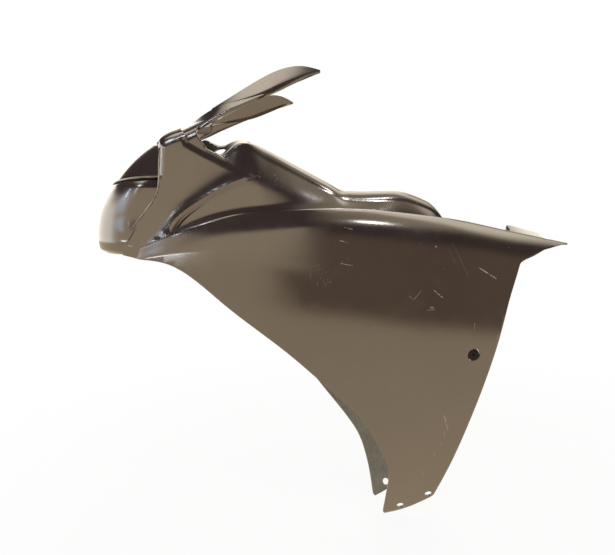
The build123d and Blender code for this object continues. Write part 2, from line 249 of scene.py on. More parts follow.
# scratches on the near side: start and end in metres in the shared frame, half width in mm, depth
SCRATCHES = (
    ((-0.2357, -0.2118, 0.1984), (-0.2217, -0.2132, 0.1940), 1.0, 0.8),
    ((-0.2275, -0.2097, 0.2190), (-0.2154, -0.2111, 0.2161), 0.9, 0.5),
    ((-0.2341, -0.2126, 0.1612), (-0.2155, -0.2142, 0.1577), 0.9, 0.6),
    ((-0.0021, -0.2210, 0.1517), (0.0300, -0.2203, 0.1324), 1.4, 1.0),
    ((-0.1216, -0.2203, 0.1077), (-0.1132, -0.2205, 0.0998), 0.8, 0.5),
    ((-0.1132, -0.2205, 0.0995), (-0.1002, -0.2213, 0.1151), 0.8, 0.5),
    ((-0.0786, -0.2219, 0.1149), (-0.0638, -0.2219, 0.1029), 1.3, 0.9),
    ((-0.0042, -0.2196, 0.0561), (-0.0039, -0.2186, 0.0456), 1.5, 0.25),
    ((-0.0314, -0.1673, -0.1230), (-0.0251, -0.1607, -0.1386), 1.2, 0.7),
    ((-0.0238, -0.1594, -0.1415), (-0.0164, -0.1518, -0.1593), 1.2, 0.5),
    ((-0.0232, -0.1507, -0.1604), (-0.0208, -0.1457, -0.1716), 1.0, 0.3),
    ((-0.0262, -0.1400, -0.1829), (-0.0202, -0.1356, -0.1934), 1.2, 0.25),
    ((-0.0770, -0.2201, 0.1874), (-0.0743, -0.2202, 0.1866), 2.0, 0.9),
    ((-0.0834, -0.2211, 0.0865), (-0.0799, -0.2212, 0.0861), 2.2, 0.8),
    ((-0.0887, -0.2207, 0.0821), (-0.0763, -0.2211, 0.0826), 1.2, 0.4),
    ((-0.0315, -0.1252, -0.2134), (-0.0298, -0.1232, -0.2179), 1.2, 0.4),
    ((-0.0441, -0.0994, -0.2645), (-0.0411, -0.0972, -0.2695), 1.6, 0.4),
    ((-0.3327, -0.1581, 0.2978), (-0.3136, -0.1621, 0.2935), 1.0, 0.35),
    ((-0.0481, -0.2189, 0.1919), (-0.0313, -0.2215, 0.1605), 1.6, 0.10),
    ((-0.0313, -0.2215, 0.1605), (-0.0194, -0.2218, 0.1353), 1.6, 0.10),
    ((-0.0570, -0.2199, 0.1868), (-0.0430, -0.2218, 0.1590), 1.6, 0.08),
)
# patches of chips: centre and reach, in metres
CHIP_PATCHES = (((-0.2665, -0.209, 0.139), 0.03), ((-0.325, -0.159, 0.298), 0.022))

# lamps: name, direction seen from a place, distance, place, size, power, colour
COOL, COLD, WARM, SUNNY = (0.9, 0.95, 1), (0.88, 0.93, 1), (1, 0.96, 0.9), (1, 0.95, 0.86)
LAMPS = (
    ("Shoulder lamp", (0.21, -0.76, 0.62), 1.7, (-0.18, -0.21, 0.225), (0.2, 0.14), 2.4, WARM),
    ("Nose lamp", (-0.9, -0.21, 0.38), 2.0, (-0.59, -0.07, 0.255), (0.12, 0.03), 0.45, COOL),
    (
        "Second nose lamp", (-0.79, -0.48, 0.37), 2.0, (-0.574, -0.079, 0.255), (0.08, 0.03), 0.28,
        COOL,
    ),
    ("Deck lamp", (-0.7, -0.33, 0.62), 2.0, (-0.51, -0.097, 0.355), (0.2, 0.12), 1.5, COOL),
    ("Low front light", (-0.86, -0.5, -0.06), 2.2, (-0.53, -0.12, 0.17), (0.9, 0.08), 3.0, COLD),
    ("Top light", (0.25, 0.1, 0.96), 1.9, (-0.15, 0.0, 0.2), (1.2, 1.0), 9.0, SUNNY),
)
# patches of the room in reflections, each over the last: four turns from the camera side and four
# heights, in degrees, between which it fades in, holds and fades out, and its colour property
ROOM = (
    ((-14, 4, 60, 80), (-30, -20, 4, 16), "room_low"),
    ((-20, 36, 110, 140), (24, 46, 91, 92), "room_mid"),
    ((38, 54, 80, 104), (26, 48, 64, 76), "room_high"),
    ((-90, -76, -24, 2), (-17, -6, 18, 24), "room_wall"),
    ((-181, -180.5, -96, -72), (-40, -30, 17, 23), "room_left"),
    ((-106, -96, -72, -56), (44, 52, 62, 70), "room_high"),
    ((-94, -86, -72, -61), (14, 17, 20, 23), "room_strip"),
)
# camera: place in metres, pitch below level and turn in degrees, width of the sensor
CAMERA_AT, CAMERA_PITCH, CAMERA_TURN, SENSOR = (-0.44, -1.15, 0.266), 7.57268, -9.18084, 36.0
WHITE = (1.0, 1.0, 1.0)
MIRROR = np.array([1, -1, 1])
OUTWARD, UPWARD = (0, -1, 0), (0, -1, 0.5)

# areas of the moulding, joined into one piece at the end
SHELL_PARTS = []


def smooth(table, x):
    """Smooth value between the given places, without overshoot."""
    xs, ys = np.array(table, float).T
    x = np.asarray(x, float)
    rise = np.diff(ys) / np.diff(xs)
    slope = np.zeros(len(xs))
    slope[0], slope[-1] = rise[0], rise[-1]
    a, b = rise[:-1], rise[1:]
    same = a * b > 0
    slope[1:-1] = np.where(same, 2 * a * b / np.where(same, a + b, 1), 0)
    i = np.clip(np.searchsorted(xs, x) - 1, 0, len(xs) - 2)
    h = xs[i + 1] - xs[i]
    t = (x - xs[i]) / h
    low = (1 + 2 * t) * (1 - t) ** 2 * ys[i] + t * (1 - t) ** 2 * h * slope[i]
    return low + t * t * (3 - 2 * t) * ys[i + 1] + t * t * (t - 1) * h * slope[i + 1]


def spline(points, shares, t, ends=None):
    """Cubic through the points, each at its share, with free ends or two end directions."""
    p = np.array(points, float)
    s = np.array(shares, float)
    n = len(s)
    h = np.diff(s)
    a = np.zeros((n, n))
    b = np.zeros(p.shape)
    for i in range(1, n - 1):
        a[i, i - 1:i + 2] = 1 / h[i - 1], 2 / h[i - 1] + 2 / h[i], 1 / h[i]
        b[i] = 3 * ((p[i] - p[i - 1]) / h[i - 1] ** 2 + (p[i + 1] - p[i]) / h[i] ** 2)
    first, last = (p[1] - p[0]) / h[0], (p[-1] - p[-2]) / h[-1]
    if ends is None:
        a[0, :2] = 2, 1
        a[-1, -2:] = 1, 2
        b[0], b[-1] = 3 * first, 3 * last
    else:
        a[0, 0] = a[-1, -1] = 1
        for row, way, chord in ((0, ends[0], first), (-1, ends[1], last)):
            b[row] = np.array(way) / np.linalg.norm(way) * np.linalg.norm(chord)
    m = np.linalg.solve(a, b)
    t = np.asarray(t, float)
    i = np.clip(np.searchsorted(s, t, side="right") - 1, 0, n - 2)
    u = ((t - s[i]) / h[i])[:, None]
    g = h[i][:, None]
    low = (1 + 2 * u) * (1 - u) ** 2 * p[i] + u * (1 - u) ** 2 * g * m[i]
    return low + u * u * (3 - 2 * u) * p[i + 1] + u * u * (u - 1) * g * m[i + 1]


def values_at(x, *tables):
    """Smooth values of some tables at one place."""
    return [float(smooth(table, x)) for table in tables]


def through(points, count, ends=None):
    """Smooth line through the points, spaced by chord length."""
    p = np.array(points, float)
    run = np.concatenate(([0], np.cumsum(np.linalg.norm(np.diff(p, axis=0), axis=1))))
    return spline(p, run / run[-1], np.linspace(0, 1, count), ends)


def to_segment(u, v, start, end):
    """Distance from one straight part of a line, and the share of it at the nearest place."""
    (au, av), (bu, bv) = start, end
    du, dv = bu - au, bv - av
    t = np.clip(((u - au) * du + (v - av) * dv) / max(du * du + dv * dv, 1e-9), 0, 1)
    return np.hypot(u - au - t * du, v - av - t * dv), t


def depth_in(edge, u, v):
    """Signed distance into a closed outline, positive inside."""
    best = np.full(u.shape, np.inf)
    odd = np.zeros(u.shape, bool)
    for start, end in zip(edge, np.roll(edge, -1, axis=0)):
        best = np.minimum(best, to_segment(u, v, start, end)[0])
        (au, av), (bu, bv) = start, end
        if av != bv:
            odd ^= ((av > v) != (bv > v)) & (u < au + (v - av) * (bu - au) / (bv - av))
    return np.where(odd, best, -best)


def distance_to(line, u, v):
    """Distance from an open line, and the share of the line at the nearest place."""
    best = np.full(u.shape, np.inf)
    place = np.zeros(u.shape)
    for k, (start, end) in enumerate(zip(line[:-1], line[1:])):
        gap, share = to_segment(u, v, start, end)
        place = np.where(gap < best, (k + share) / (len(line) - 1), place)
        best = np.minimum(best, gap)
    return best, place


def moved(line, shift):
    """Line moved to its right-hand side, by one shift or by one for each place."""
    way = np.gradient(line, axis=0)
    way /= np.linalg.norm(way, axis=1, keepdims=True)
    return line + np.reshape(shift, (-1, 1)) * np.column_stack([way[:, 1], -way[:, 0]])


def station(x, line):
    """Points of a section at x."""
    return np.column_stack([np.full(len(line), x), line])


def level(line, z):
    """Points of a plan on the left side at the height z, or at a height for each place."""
    return np.column_stack([line[:, 0], -line[:, 1], np.broadcast_to(z, len(line))])


def flank(x, z):
    """Half width of the flat flank."""
    return FLANK_W + FLANK_FLARE * (x - FLANK_X) - FLANK_LEAN * z


def ridge_rise(share):
    """Height of the ridge on the flank at a share of its length."""
    return RIDGE_RISE * np.clip((1 - share) / RIDGE_END, RIDGE_LEAST, 1)


def front_round(x, z):
    """How far the front edge of the deck is rounded in."""
    return EDGE_ROUND * np.clip(1 - distance_to(DECK_FRONT, x, z)[0] / EDGE_REACH, 0, None) ** 2


def flank_outline(lap=False):
    """Closed side-view outline of the flat flank and deck, with or without its laps."""
    lip = through(FLANK_LIP, LINE_POINTS)
    low = moved(through(FLANK_RIDGE, LINE_POINTS), lap * RIDGE_LAP)
    high = moved(np.array(FLANK_JOGGLE[:4], float), lap * JOGGLE_LAP)
    start = (FLANK_JOGGLE[-1], DECK_FRONT[-1])
    return np.vstack((start, lip, FLANK_BOTTOM, low, high, FLANK_JOGGLE[4:-1]))


def body_outline(front=FRONT_EDGE, lower=LOWER_EDGE):
    """Closed side-view outline of what lies in front of, below and behind a side panel."""
    curves = [through(edge, EDGE_POINTS)[1:] for edge in (front, lower, TIP_EDGE, REAR_EDGE)]
    return np.vstack((CHIN_EDGE, *curves, FIN_EDGE[1:], OUTSIDE))


def cockpit_w(x):
    """Half width of the cockpit opening."""
    return np.interp(x, *through(COCKPIT, COCKPIT_POINTS, COCKPIT_ENDS).T, left=-1)


def nose_line(z, count, bowed=False):
    """Half plan of the nose at a height, from tip to back, round or bowed: x and half width."""
    levels = np.array(NOSE_LEVELS, float)
    tip_x, inset = values_at(z, levels[:, :2], levels[:, (0, 2)])
    side_x = tip_x + min(NOSE_DEPTH, NOSE_SIDE * (NOSE_BACK - tip_x))
    side_w = flank(side_x, z) - inset
    back_w = flank(NOSE_BACK, z) - max(inset, NOSE_TUCK[0]) - NOSE_TUCK[1]
    t = np.linspace(0, 1, count) ** NOSE_SPACING
    if bowed:
        return np.column_stack([tip_x + (NOSE_BACK - tip_x) * t ** 2, back_w * t])
    turn = (tip_x + NOSE_ROUND[0] * (side_x - tip_x), -NOSE_ROUND[1] * side_w)
    left = [(NOSE_BACK, -back_w), (side_x, -side_w), turn]
    right = [(x, -w) for x, w in reversed(left)]
    return spline([*left, (tip_x, 0), *right], NOSE_SHARES, 0.5 + 0.5 * t)


def nose_w(x, z):
    """Half width of the nose, zero in front of it."""
    rows, columns = 60, 90
    grid = np.linspace(NOSE_FRONT, NOSE_BACK, columns)
    heights = np.linspace(NOSE_LOW, NOSE_TOP, rows)
    table = np.array([np.interp(grid, *nose_line(height, 60).T, left=0) for height in heights])
    i = np.clip((z - NOSE_LOW) / (NOSE_TOP - NOSE_LOW) * (rows - 1), 0, rows - 1.001)
    j = np.clip((x - NOSE_FRONT) / (NOSE_BACK - NOSE_FRONT) * (columns - 1), 0, columns - 1.001)
    a, b = i.astype(int), j.astype(int)
    u, v = i - a, j - b
    low = (1 - u) * ((1 - v) * table[a, b] + v * table[a, b + 1])
    high = u * ((1 - v) * table[a + 1, b] + v * table[a + 1, b + 1])
    return np.where((z < NOSE_LOW) | (z > NOSE_TOP), 0, low + high)


def trimmed(points, fields=()):
    """Quad grid of points kept where every field is positive, cut along the zero lines."""
    rows, cols = points.shape[:2]
    values = [field.reshape(-1, 1) for field in fields]
    data = list(np.hstack([points.reshape(-1, 3), *values]))
    index = np.arange(rows * cols).reshape(rows, cols)
    faces = np.stack([index[:-1, :-1], index[:-1, 1:], index[1:, 1:], index[1:, :-1]], axis=-1)
    faces = [list(f) for f in faces.reshape(-1, 4)]
    for k in range(3, 3 + len(fields)):
        made = {}
        kept = []
        for face in faces:
            inside = [data[i][k] > 0 for i in face]
            if all(inside):
                kept.append(face)
                continue
            if not any(inside):
                continue
            cut = []
            for n, i in enumerate(face):
                j = face[(n + 1) % len(face)]
                if data[i][k] > 0:
                    cut.append(i)
                if (data[i][k] > 0) != (data[j][k] > 0):
                    key = (min(i, j), max(i, j))
                    if key not in made:
                        a, b = data[key[0]], data[key[1]]
                        made[key] = len(data)
                        data.append(a + (b - a) * a[k] / (a[k] - b[k]))
                    cut.append(made[key])
            if len(cut) > 2:
                kept.append(cut)
        faces = kept
    used = sorted({i for face in faces for i in face})
    new = {old: n for n, old in enumerate(used)}
    return np.array([data[i][:3] for i in used]), [[new[i] for i in face] for face in faces]


def turned_out(skin, way):
    """Skin with its faces turned so that their mean normal points the given way."""
    verts, faces = skin
    sums = np.zeros(verts.shape)
    for face in faces:
        p = verts[face]
        sums[face] += np.cross(p[1] - p[0], p[2] - p[0]) + np.cross(p[-2] - p[0], p[-1] - p[0])
    normals = sums / np.maximum(np.linalg.norm(sums, axis=1, keepdims=True), 1e-9)
    if normals.sum(axis=0) @ np.array(way) > 0:
        return verts, faces
    return verts, [face[::-1] for face in faces]


def with_return(skin, reach_at):
    """Skin with a wall that goes inward from its free edge, as far as reach_at says."""
    verts, faces = skin
    sides = dict.fromkeys(side for face in faces for side in zip(face, face[1:] + face[:1]))
    reach = reach_at(verts)
    barred = np.linalg.norm(reach, axis=1) < 0.5
    middle = np.abs(verts[:, 1]) < 0.01
    low, out, walls = {}, list(verts), []
    for i, j in sides:
        if (j, i) in sides or (middle[i] and middle[j]) or barred[i] or barred[j]:
            continue
        for k in (i, j):
            if k not in low:
                low[k] = len(out)
                out.append(verts[k] + reach[k])
        walls.append([j, i, low[i], low[j]])
    return np.array(out), faces + walls


def both_sides(near, far=None):
    """A left skin with its mirror image, or with that of another left skin."""
    verts, faces = near
    far_verts, far_faces = far or near
    mirrored = [[i + len(verts) for i in face[::-1]] for face in far_faces]
    return np.vstack([verts, far_verts * MIRROR]), faces + mirrored


def hole_pairs(places, square, radius, run):
    """Holes at places on the left side, and their mirror images: centre, axis, radius, length."""
    return [
        ((x, -side * w, z), (square[0], side * square[1], square[2]), radius, run)
        for side in (1, -1) for x, w, z in places
    ]


def in_frame(verts):
    """Places in the shared frame of guide places."""
    return (np.asarray(verts, float) - np.array([SIDE_HOLE[0], 0, SIDE_HOLE[1]])) * MM


def shell_part(name, verts, edges, faces, coats=()):
    """Object that becomes a part of the moulding, from guide places."""
    mesh = bpy.data.meshes.new(name)
    mesh.from_pydata(in_frame(verts).tolist(), edges, faces)
    for coat in coats:
        mesh.materials.append(coat)
    obj = bpy.data.objects.new(name, mesh)
    bpy.context.scene.collection.objects.link(obj)
    SHELL_PARTS.append(obj)
    return obj


def laminate(name, skin, wall, coats, holes=(), bevel=EDGE_BEVEL):
    """Closed laminate under an outer skin given in guide places."""
    obj = shell_part(name, skin[0], [], skin[1], coats)
    weld = obj.modifiers.new("Seam", "WELD")
    weld.merge_threshold = WELD_GAP
    thick = obj.modifiers.new("Laminate", "SOLIDIFY")
    thick.thickness = wall
    thick.offset = -1
    thick.material_offset = 1
    thick.material_offset_rim = 0
    if bevel > 0:
        edge = obj.modifiers.new("Edges", "BEVEL")
        edge.width = bevel
        edge.segments = 2
        edge.limit_method = "ANGLE"
        edge.angle_limit = math.radians(EDGE_ANGLE)
        edge.material = 2
    baked(obj)
    for hole in holes:
        drill(obj, *hole)


def baked(obj):
    """Takes the evaluated mesh in place of the modifiers."""
    graph = bpy.context.evaluated_depsgraph_get()
    graph.update()
    mesh = bpy.data.meshes.new_from_object(obj.evaluated_get(graph))
    old = obj.data
    obj.modifiers.clear()
    obj.data = mesh
    bpy.data.meshes.remove(old)


def drill(obj, centre, axis, radius, length):
    """Round hole through a piece, centre in guide millimetres."""
    way = Vector(axis).normalized()
    side = way.orthogonal().normalized()
    up = way.cross(side)
    mid = (Vector(centre) - Vector((SIDE_HOLE[0], 0, SIDE_HOLE[1]))) * MM
    verts, faces, n = [], [], DRILL_SIDES
    for end in (-0.5, 0.5):
        for k in range(n):
            a = 2 * math.pi * k / n
            out = (side * math.cos(a) + up * math.sin(a)) * radius * MM
            verts.append(mid + way * end * length * MM + out)
    for k in range(n):
        faces.append([k, (k + 1) % n, n + (k + 1) % n, n + k])
    faces.append(list(range(n))[::-1])
    faces.append(list(range(n, 2 * n)))
    mesh = bpy.data.meshes.new("Drill")
    mesh.from_pydata(verts, [], faces)
    cutter = bpy.data.objects.new("Drill", mesh)
    bpy.context.scene.collection.objects.link(cutter)
    cut = obj.modifiers.new("Hole", "BOOLEAN")
    cut.operation = "DIFFERENCE"
    cut.solver = "EXACT"
    cut.object = cutter
    baked(obj)
    bpy.data.objects.remove(cutter)
    bpy.data.meshes.remove(mesh)


def body_skin(outline):
    """Left side panel from the bottom tip up to the crease, and the shelf behind the crease."""
    xs = np.concatenate([np.arange(-150, 100, 9.0), np.arange(100, 618, 8.0), [618]])
    t_belly = np.linspace(0, 1, 62)
    t_side = np.linspace(0, 1, 30)[1:]
    t_shelf = np.linspace(0, 1, 8)[1:, None]
    columns = []
    for x in xs:
        top_w, top_z, full_w, rise = values_at(x, CREASE_W, CREASE_Z, BELLY_W, BELLY_H)
        low_z, k, draw = top_z - rise, full_w / BELLY_FULL, full_w - top_w
        belly = [(k * d - full_w, low_z - h) for h, d in BELLY_FOOT]
        front = float(np.interp(x, *np.array(SHOULDER_BLEND).T))
        side = []
        for (u, v), (front_u, front_v) in zip(SHOULDER, SHOULDER_FRONT):
            u, v = u + front * (front_u - u), v + front * (front_v - v)
            side.append((draw * u - full_w, low_z + rise * v))
        low = spline(belly, BELLY_SHARES, t_belly, ends=((-BELLY_TOE * k, 1), (0, 1)))
        turn = SHOULDER_TURN[0] + SHOULDER_TURN[1] * front
        high = spline(side, SHOULDER_SHARES, t_side, ends=((0, 1), (draw, turn * rise)))
        shelf = np.array(side[-1]) + t_shelf * np.array(SHELF_RUN) * top_w
        columns.append(station(x, np.vstack([low, high, shelf])))
    points = np.array(columns)
    x, w, z = points[..., 0], -points[..., 1], points[..., 2]
    on_shelf = np.arange(points.shape[1]) >= len(t_belly) + len(t_side) - 1
    behind = np.where(x < SHELF_END, smooth(GUTTER_W, x) - SHELF_LAP, cockpit_w(x))
    inner = np.where(on_shelf, w - behind, OFF_SHELF)
    return trimmed(points, [-depth_in(outline, x, z), inner, w - nose_w(x, z) + NOSE_LAP])


def band_skin():
    """Left upper band from the gutter over its rolled rim to the cockpit edge."""
    columns = []
    for x in np.concatenate([np.arange(-78, 414, 7.0), [414]]):
        low_w, low_z, top_w, top_z = values_at(x, GUTTER_W, GUTTER_Z, RIM_W, RIM_Z)
        tilt, bend, rim = values_at(x, RIM_TILT, BAND_BEND, RIM_ROLL)
        fade, crease = values_at(x, FLARE_FADE, CREASE_W)
        base = (-low_w, low_z - BAND_SINK)
        edge = (-top_w, top_z - rim)
        bend_z = bend * (edge[1] - base[1])
        middle = (BAND_LEAN * bend_z - low_w, base[1] + bend_z)
        turn = (ROLL_TURN * rim - top_w, top_z - ROLL_TURN * rim)
        top = (rim - top_w, top_z)
        wall = spline((base, middle, edge), (0, bend, 1), np.linspace(0, 1, 30))
        flare = min(GUTTER_FLARE[0], crease - low_w - CREASE_GAP) * fade
        wall[:, 0] -= flare * np.exp(-np.maximum(wall[:, 1] - low_z, 0) / GUTTER_FLARE[1])
        foot = [(wall[0, 0], low_z - depth) for depth in BAND_FOOT]
        t_roll, t_flat = np.linspace(0, 1, 9)[1:], np.linspace(0, 1, 12)[1:, None]
        roll = spline((edge, turn, top), (0, 0.5, 1), t_roll, ends=(ROLL_START, (1, tilt)))
        inner = top_w - rim - RIM_INNER
        flat = np.array(top) + t_flat * np.array([inner, tilt * inner])
        columns.append(station(x, np.vstack([foot, wall, roll, flat])))
    points = np.array(columns)
    x, w, z = points[..., 0], -points[..., 1], points[..., 2]
    return trimmed(points, [w - cockpit_w(x), FLANK_LAP - depth_in(flank_outline(), x, z)])


def deck_line(x, inset, count):
    """Half section of flank and arched deck at x, from the foot to the centre."""
    spring = values_at(x, DECK_CROWN)[0] - CROWN_DROP * inset - DECK_DEPTH
    zs = FLANK_FOOT + np.linspace(0, 1, count) * (spring - FLANK_FOOT)
    wall = np.column_stack([inset - flank(x, zs), zs])
    w = flank(x, spring) - inset
    left = [(-u * w, spring + DECK_DEPTH * v) for u, v in DECK_ARCH]
    right = [(-y, z) for y, z in reversed(left[:-1])]
    shares = [*ARCH_SHARES, *[1 - share for share in reversed(ARCH_SHARES[:-1])]]
    return np.vstack([wall, spline(left + right, shares, np.linspace(0, 0.5, ARCH_POINTS))[1:]])


def deck_skin():
    """Left half of the flat flank and the arched deck inside their outline."""
    points = np.array([station(x, deck_line(x, 0, 76)) for x in np.arange(-156, 96, 3.0)])
    x, z = points[..., 0], points[..., 2]
    over = depth_in(flank_outline(), x, z) < 0
    ridge, along = distance_to(through(FLANK_RIDGE, LINE_POINTS), x, z)
    rise = ridge_rise(along)
    joggle, _ = distance_to(FLANK_JOGGLE[:5], x, z)
    by_ridge = over & (ridge <= joggle)
    out = rise * np.exp(-ridge / RIDGE_REACH)
    out = np.where(by_ridge, np.maximum(rise - ridge ** 2 / RIDGE_FALL, -RIDGE_LAP), out)
    past = np.where(over & ~by_ridge, -joggle, joggle)
    out -= JOGGLE_ROUND * np.clip(1 - past / JOGGLE_REACH, 0, 2) ** 2 * (z < JOGGLE_TOP)
    out -= front_round(x, z)
    gutter = z - smooth(CREASE_Z, x)
    room = np.clip(smooth(CREASE_W, x) - flank(x, z) - CREASE_GAP, 0, GUTTER_FLARE[0])
    out += room * np.exp(-np.clip(gutter, 0, None) / GUTTER_FLARE[1])
    points[..., 1] -= out * (points[..., 1] < -DECK_FLAT)
    keep = depth_in(flank_outline(lap=True), x, z)
    return trimmed(points, [keep, -depth_in(body_outline(), x, z)])


def deck_return(verts):
    """Reach of the wall at the edge of the flank and deck."""
    x, z = verts[:, 0], verts[:, 2]
    lip, _ = distance_to(through(FLANK_LIP, LINE_POINTS), x, z)
    joggle, _ = distance_to(FLANK_JOGGLE, x, z)
    front, _ = distance_to(DECK_FRONT[2:], x, z)
    inset = smooth(np.array(NOSE_LEVELS, float)[:, (0, 2)], np.clip(z, NOSE_LOW, NOSE_TOP))
    inward = np.where(lip < ON_EDGE, np.clip(inset + LIP_WALL, *LIP_WALL_LIMITS), 0)
    reach = np.zeros(verts.shape)
    reach[:, 1] = np.minimum(inward, np.maximum(-verts[:, 1] - 1, 0))
    reach[(front < ON_EDGE) & (z > FRONT_WALL_Z)] = FRONT_WALL
    reach[(joggle < ON_EDGE) & (z >= JOGGLE_WALL_Z)] = JOGGLE_WALL
    return reach


def flange_skin():
    """Left half of the screen flange, one joggle below the deck."""
    points = np.array([station(x, deck_line(x, JOGGLE, 48)) for x in np.arange(-70, 4, 3.0)])
    x, w, z = points[..., 0], -points[..., 1], points[..., 2]
    hidden = FLANK_LAP - depth_in(flank_outline(), x, z)
    return trimmed(points, [depth_in(FLANGE_EDGE, x, z), hidden, w - cockpit_w(x), z - FLANGE_LOW])


def nose_table(bowed):
    """Half plans of the nose at every millimetre of height: heights and lines."""
    heights = np.arange(NOSE_LOW, NOSE_TOP + 1)
    return heights, np.array([nose_line(z, NOSE_POINTS, bowed) for z in heights])


def nose_at(table, z):
    """Points of the nose whose heights are given along the line."""
    heights, lines = table
    x, w = ([np.interp(z[j], heights, lines[:, j, k]) for j in range(len(z))] for k in (0, 1))
    return np.column_stack([x, w])


def nose_skin():
    """Left half of the nose from the chin to its top, scooped under the blade, back to the lip."""
    bulb, brow = nose_table(False), nose_table(True)
    heights = np.concatenate([
        np.linspace(CHIN_Z, -70, 12), np.linspace(-66, 4, 20), np.linspace(5.5, BLADE_Z - 0.05, 26),
        np.linspace(BLADE_Z + 0.05, 40, 12), np.linspace(44, NOSE_TOP, 14),
    ])
    chin, top = nose_line(CHIN_Z, NOSE_POINTS), nose_line(NOSE_TOP, NOSE_POINTS, True)
    rows = [level(chin * (1, share), CHIN_Z) for share in CHIN_SHARES]
    for height in heights:
        table = bulb if height < BLADE_Z else brow
        flat = nose_at(table, np.full(NOSE_POINTS, height))
        tilt = BLADE_SLOPE * float(np.interp(height, *np.array(TILT_BLEND).T))
        z = height + tilt * flat[:, 1]
        line = nose_at(table, z)
        w = line[:, 1]
        below = (BLADE_Z + BLADE_SLOPE * w - z) / (SCOOP_HEIGHT[0] + SCOOP_HEIGHT[1] * w)
        scooped = (height < BLADE_Z) & (below < 1)
        depth = np.where(scooped, 1 - below, 0) ** SCOOP_POWER
        depth *= SCOOP_DEPTH[0] + SCOOP_DEPTH[1] * w
        rows.append(level(moved(line, depth), z))
    for share in TOP_SHARES:
        back = np.column_stack([NOSE_BACK + share * (top[:, 0] - NOSE_BACK), top[:, 1]])
        rows.append(level(back, NOSE_TOP))
    points = np.array(rows)
    x, w, z = points[..., 0], -points[..., 1], points[..., 2]
    lip = through(FLANK_LIP, LINE_POINTS)[::-1]
    behind = np.interp(z, lip[:, 1], lip[:, 0], left=-100, right=-82) + LIP_LAP - x
    end_z = BLADE_Z + BLADE_SLOPE * BLADE_END
    low_z = BLADE_Z - SLOT_SHARE * SCOOP_HEIGHT[0]
    end_low_z = end_z - SLOT_SHARE * (SCOOP_HEIGHT[0] + SCOOP_HEIGHT[1] * BLADE_END)
    slot = (
        (SLOT_ACROSS, low_z), (0, low_z), (BLADE_END, end_low_z),
        (BLADE_END, end_z), (0, BLADE_Z), (SLOT_ACROSS, BLADE_Z),
    )
    return trimmed(points, [behind, -depth_in(slot, w, z)])


def slot_floor_skin():
    """Left floor of the air slot, set in behind the scoop."""
    rows = [level(moved(nose_line(z, 60), SLOT_DEPTH), z) for z in np.linspace(6, 44, 20)]
    points = np.array(rows)
    w = -points[..., 1]
    return trimmed(points, [w - SLOT_FLOOR[0], SLOT_FLOOR[1] - w])


def blade_skin():
    """Left half of the thin blade over the air slot."""
    rows = []
    for share in np.linspace(0, 1, 4):
        line = []
        for w in np.linspace(0, BLADE_END, 44):
            z = BLADE_Z + BLADE_SLOPE * w
            plan_x, plan_w = nose_line(z, 80).T
            x, ahead = np.interp((w, w + 1), plan_w, plan_x)
            square = np.array([-1, ahead - x]) / math.hypot(1, ahead - x)
            reach = BLADE_PROUD + BLADE_ROOT + BLADE_REACH * (w / BLADE_END) ** 2
            out = BLADE_PROUD - share * reach
            if out > 0:
                out *= min(1, (BLADE_END - w) / BLADE_FADE)
            line.append((x + out * square[0], -max(w + out * square[1], 0), z + BLADE_LIFT))
        rows.append(line)
    return trimmed(np.array(rows))


def on_flanks(line, out, girth):
    """Line set out from both flanks as the path of a bead: vertices, edges, girths."""
    verts = np.column_stack([line[:, 0], -flank(line[:, 0], line[:, 1]) - out, line[:, 1]])
    edges = [(k, k + 1) for start in (0, len(line)) for k in range(start, start + len(line) - 1)]
    return np.vstack([verts, verts * MIRROR]), edges, np.tile(girth, 2)


def ridge_lines():
    """Paths of the beads on the ridges of both flanks."""
    line = through(FLANK_RIDGE, 70)
    share = np.linspace(0, 1, len(line))
    front, rear = RIDGE_TAPER
    girth = np.minimum(1, front[0] + front[1] * share)
    girth *= np.minimum(1, rear[0] + rear[1] * (1 - share))
    return on_flanks(line, ridge_rise(share) - RIDGE_SINK, girth)


def lip_highlight_lines():
    """Paths of the thin pale beads on the lips of both flanks, a painted highlight line on each
    lip.
    """
    line = through(FLANK_LIP, 90)[:LIP_POINTS]
    ends = (0, LIP_FADE[0], LIP_POINTS - LIP_FADE[1], LIP_POINTS)
    girth = np.interp(np.arange(LIP_POINTS), ends, LIP_GIRTH)
    return on_flanks(line, -front_round(line[:, 0], line[:, 1]) - LIP_SINK, girth)


def fin_skin():
    """Left upstand on the crease of the rear fin."""
    xs = np.concatenate([np.arange(503, 515, 1.0), np.arange(515, 613, 4.0)])
    crease = np.column_stack([xs, -smooth(CREASE_W, xs), smooth(CREASE_Z, xs)])
    low = crease + np.array([0, *FIN_ROOT])
    lift = np.column_stack([0 * xs, FIN_LEAN + 0 * xs, smooth(FIN_RISE, xs) + FIN_LIFT])
    return trimmed(np.array([low + share * lift for share in np.linspace(0, 1, 5)]))


def strip_skin(rows, depth):
    """Skin through stations of x and two edge points, set in by depth."""
    rows = np.array(rows, float)
    t = np.linspace(0, 1, 48)
    xs = rows[0, 0] + t * (rows[-1, 0] - rows[0, 0])
    edge = spline(rows[:, 1:], (rows[:, 0] - xs[0]) / (xs[-1] - xs[0]), t)
    low, high = edge[:, :2], edge[:, 2:]
    length = np.maximum(np.linalg.norm(high - low, axis=1, keepdims=True), 0.5)
    inward = np.column_stack([-(high - low)[:, 1], (high - low)[:, 0]]) / length
    columns = []
    for share in ARM_SHARES:
        roll = ARM_ROLL * max(0, 1 - share / ARM_ROLL_SHARE) ** 2
        place = low + share * (high - low) + (depth + roll) * inward
        columns.append(np.column_stack([xs, -place[:, 0], place[:, 1]]))
    return trimmed(np.array(columns))


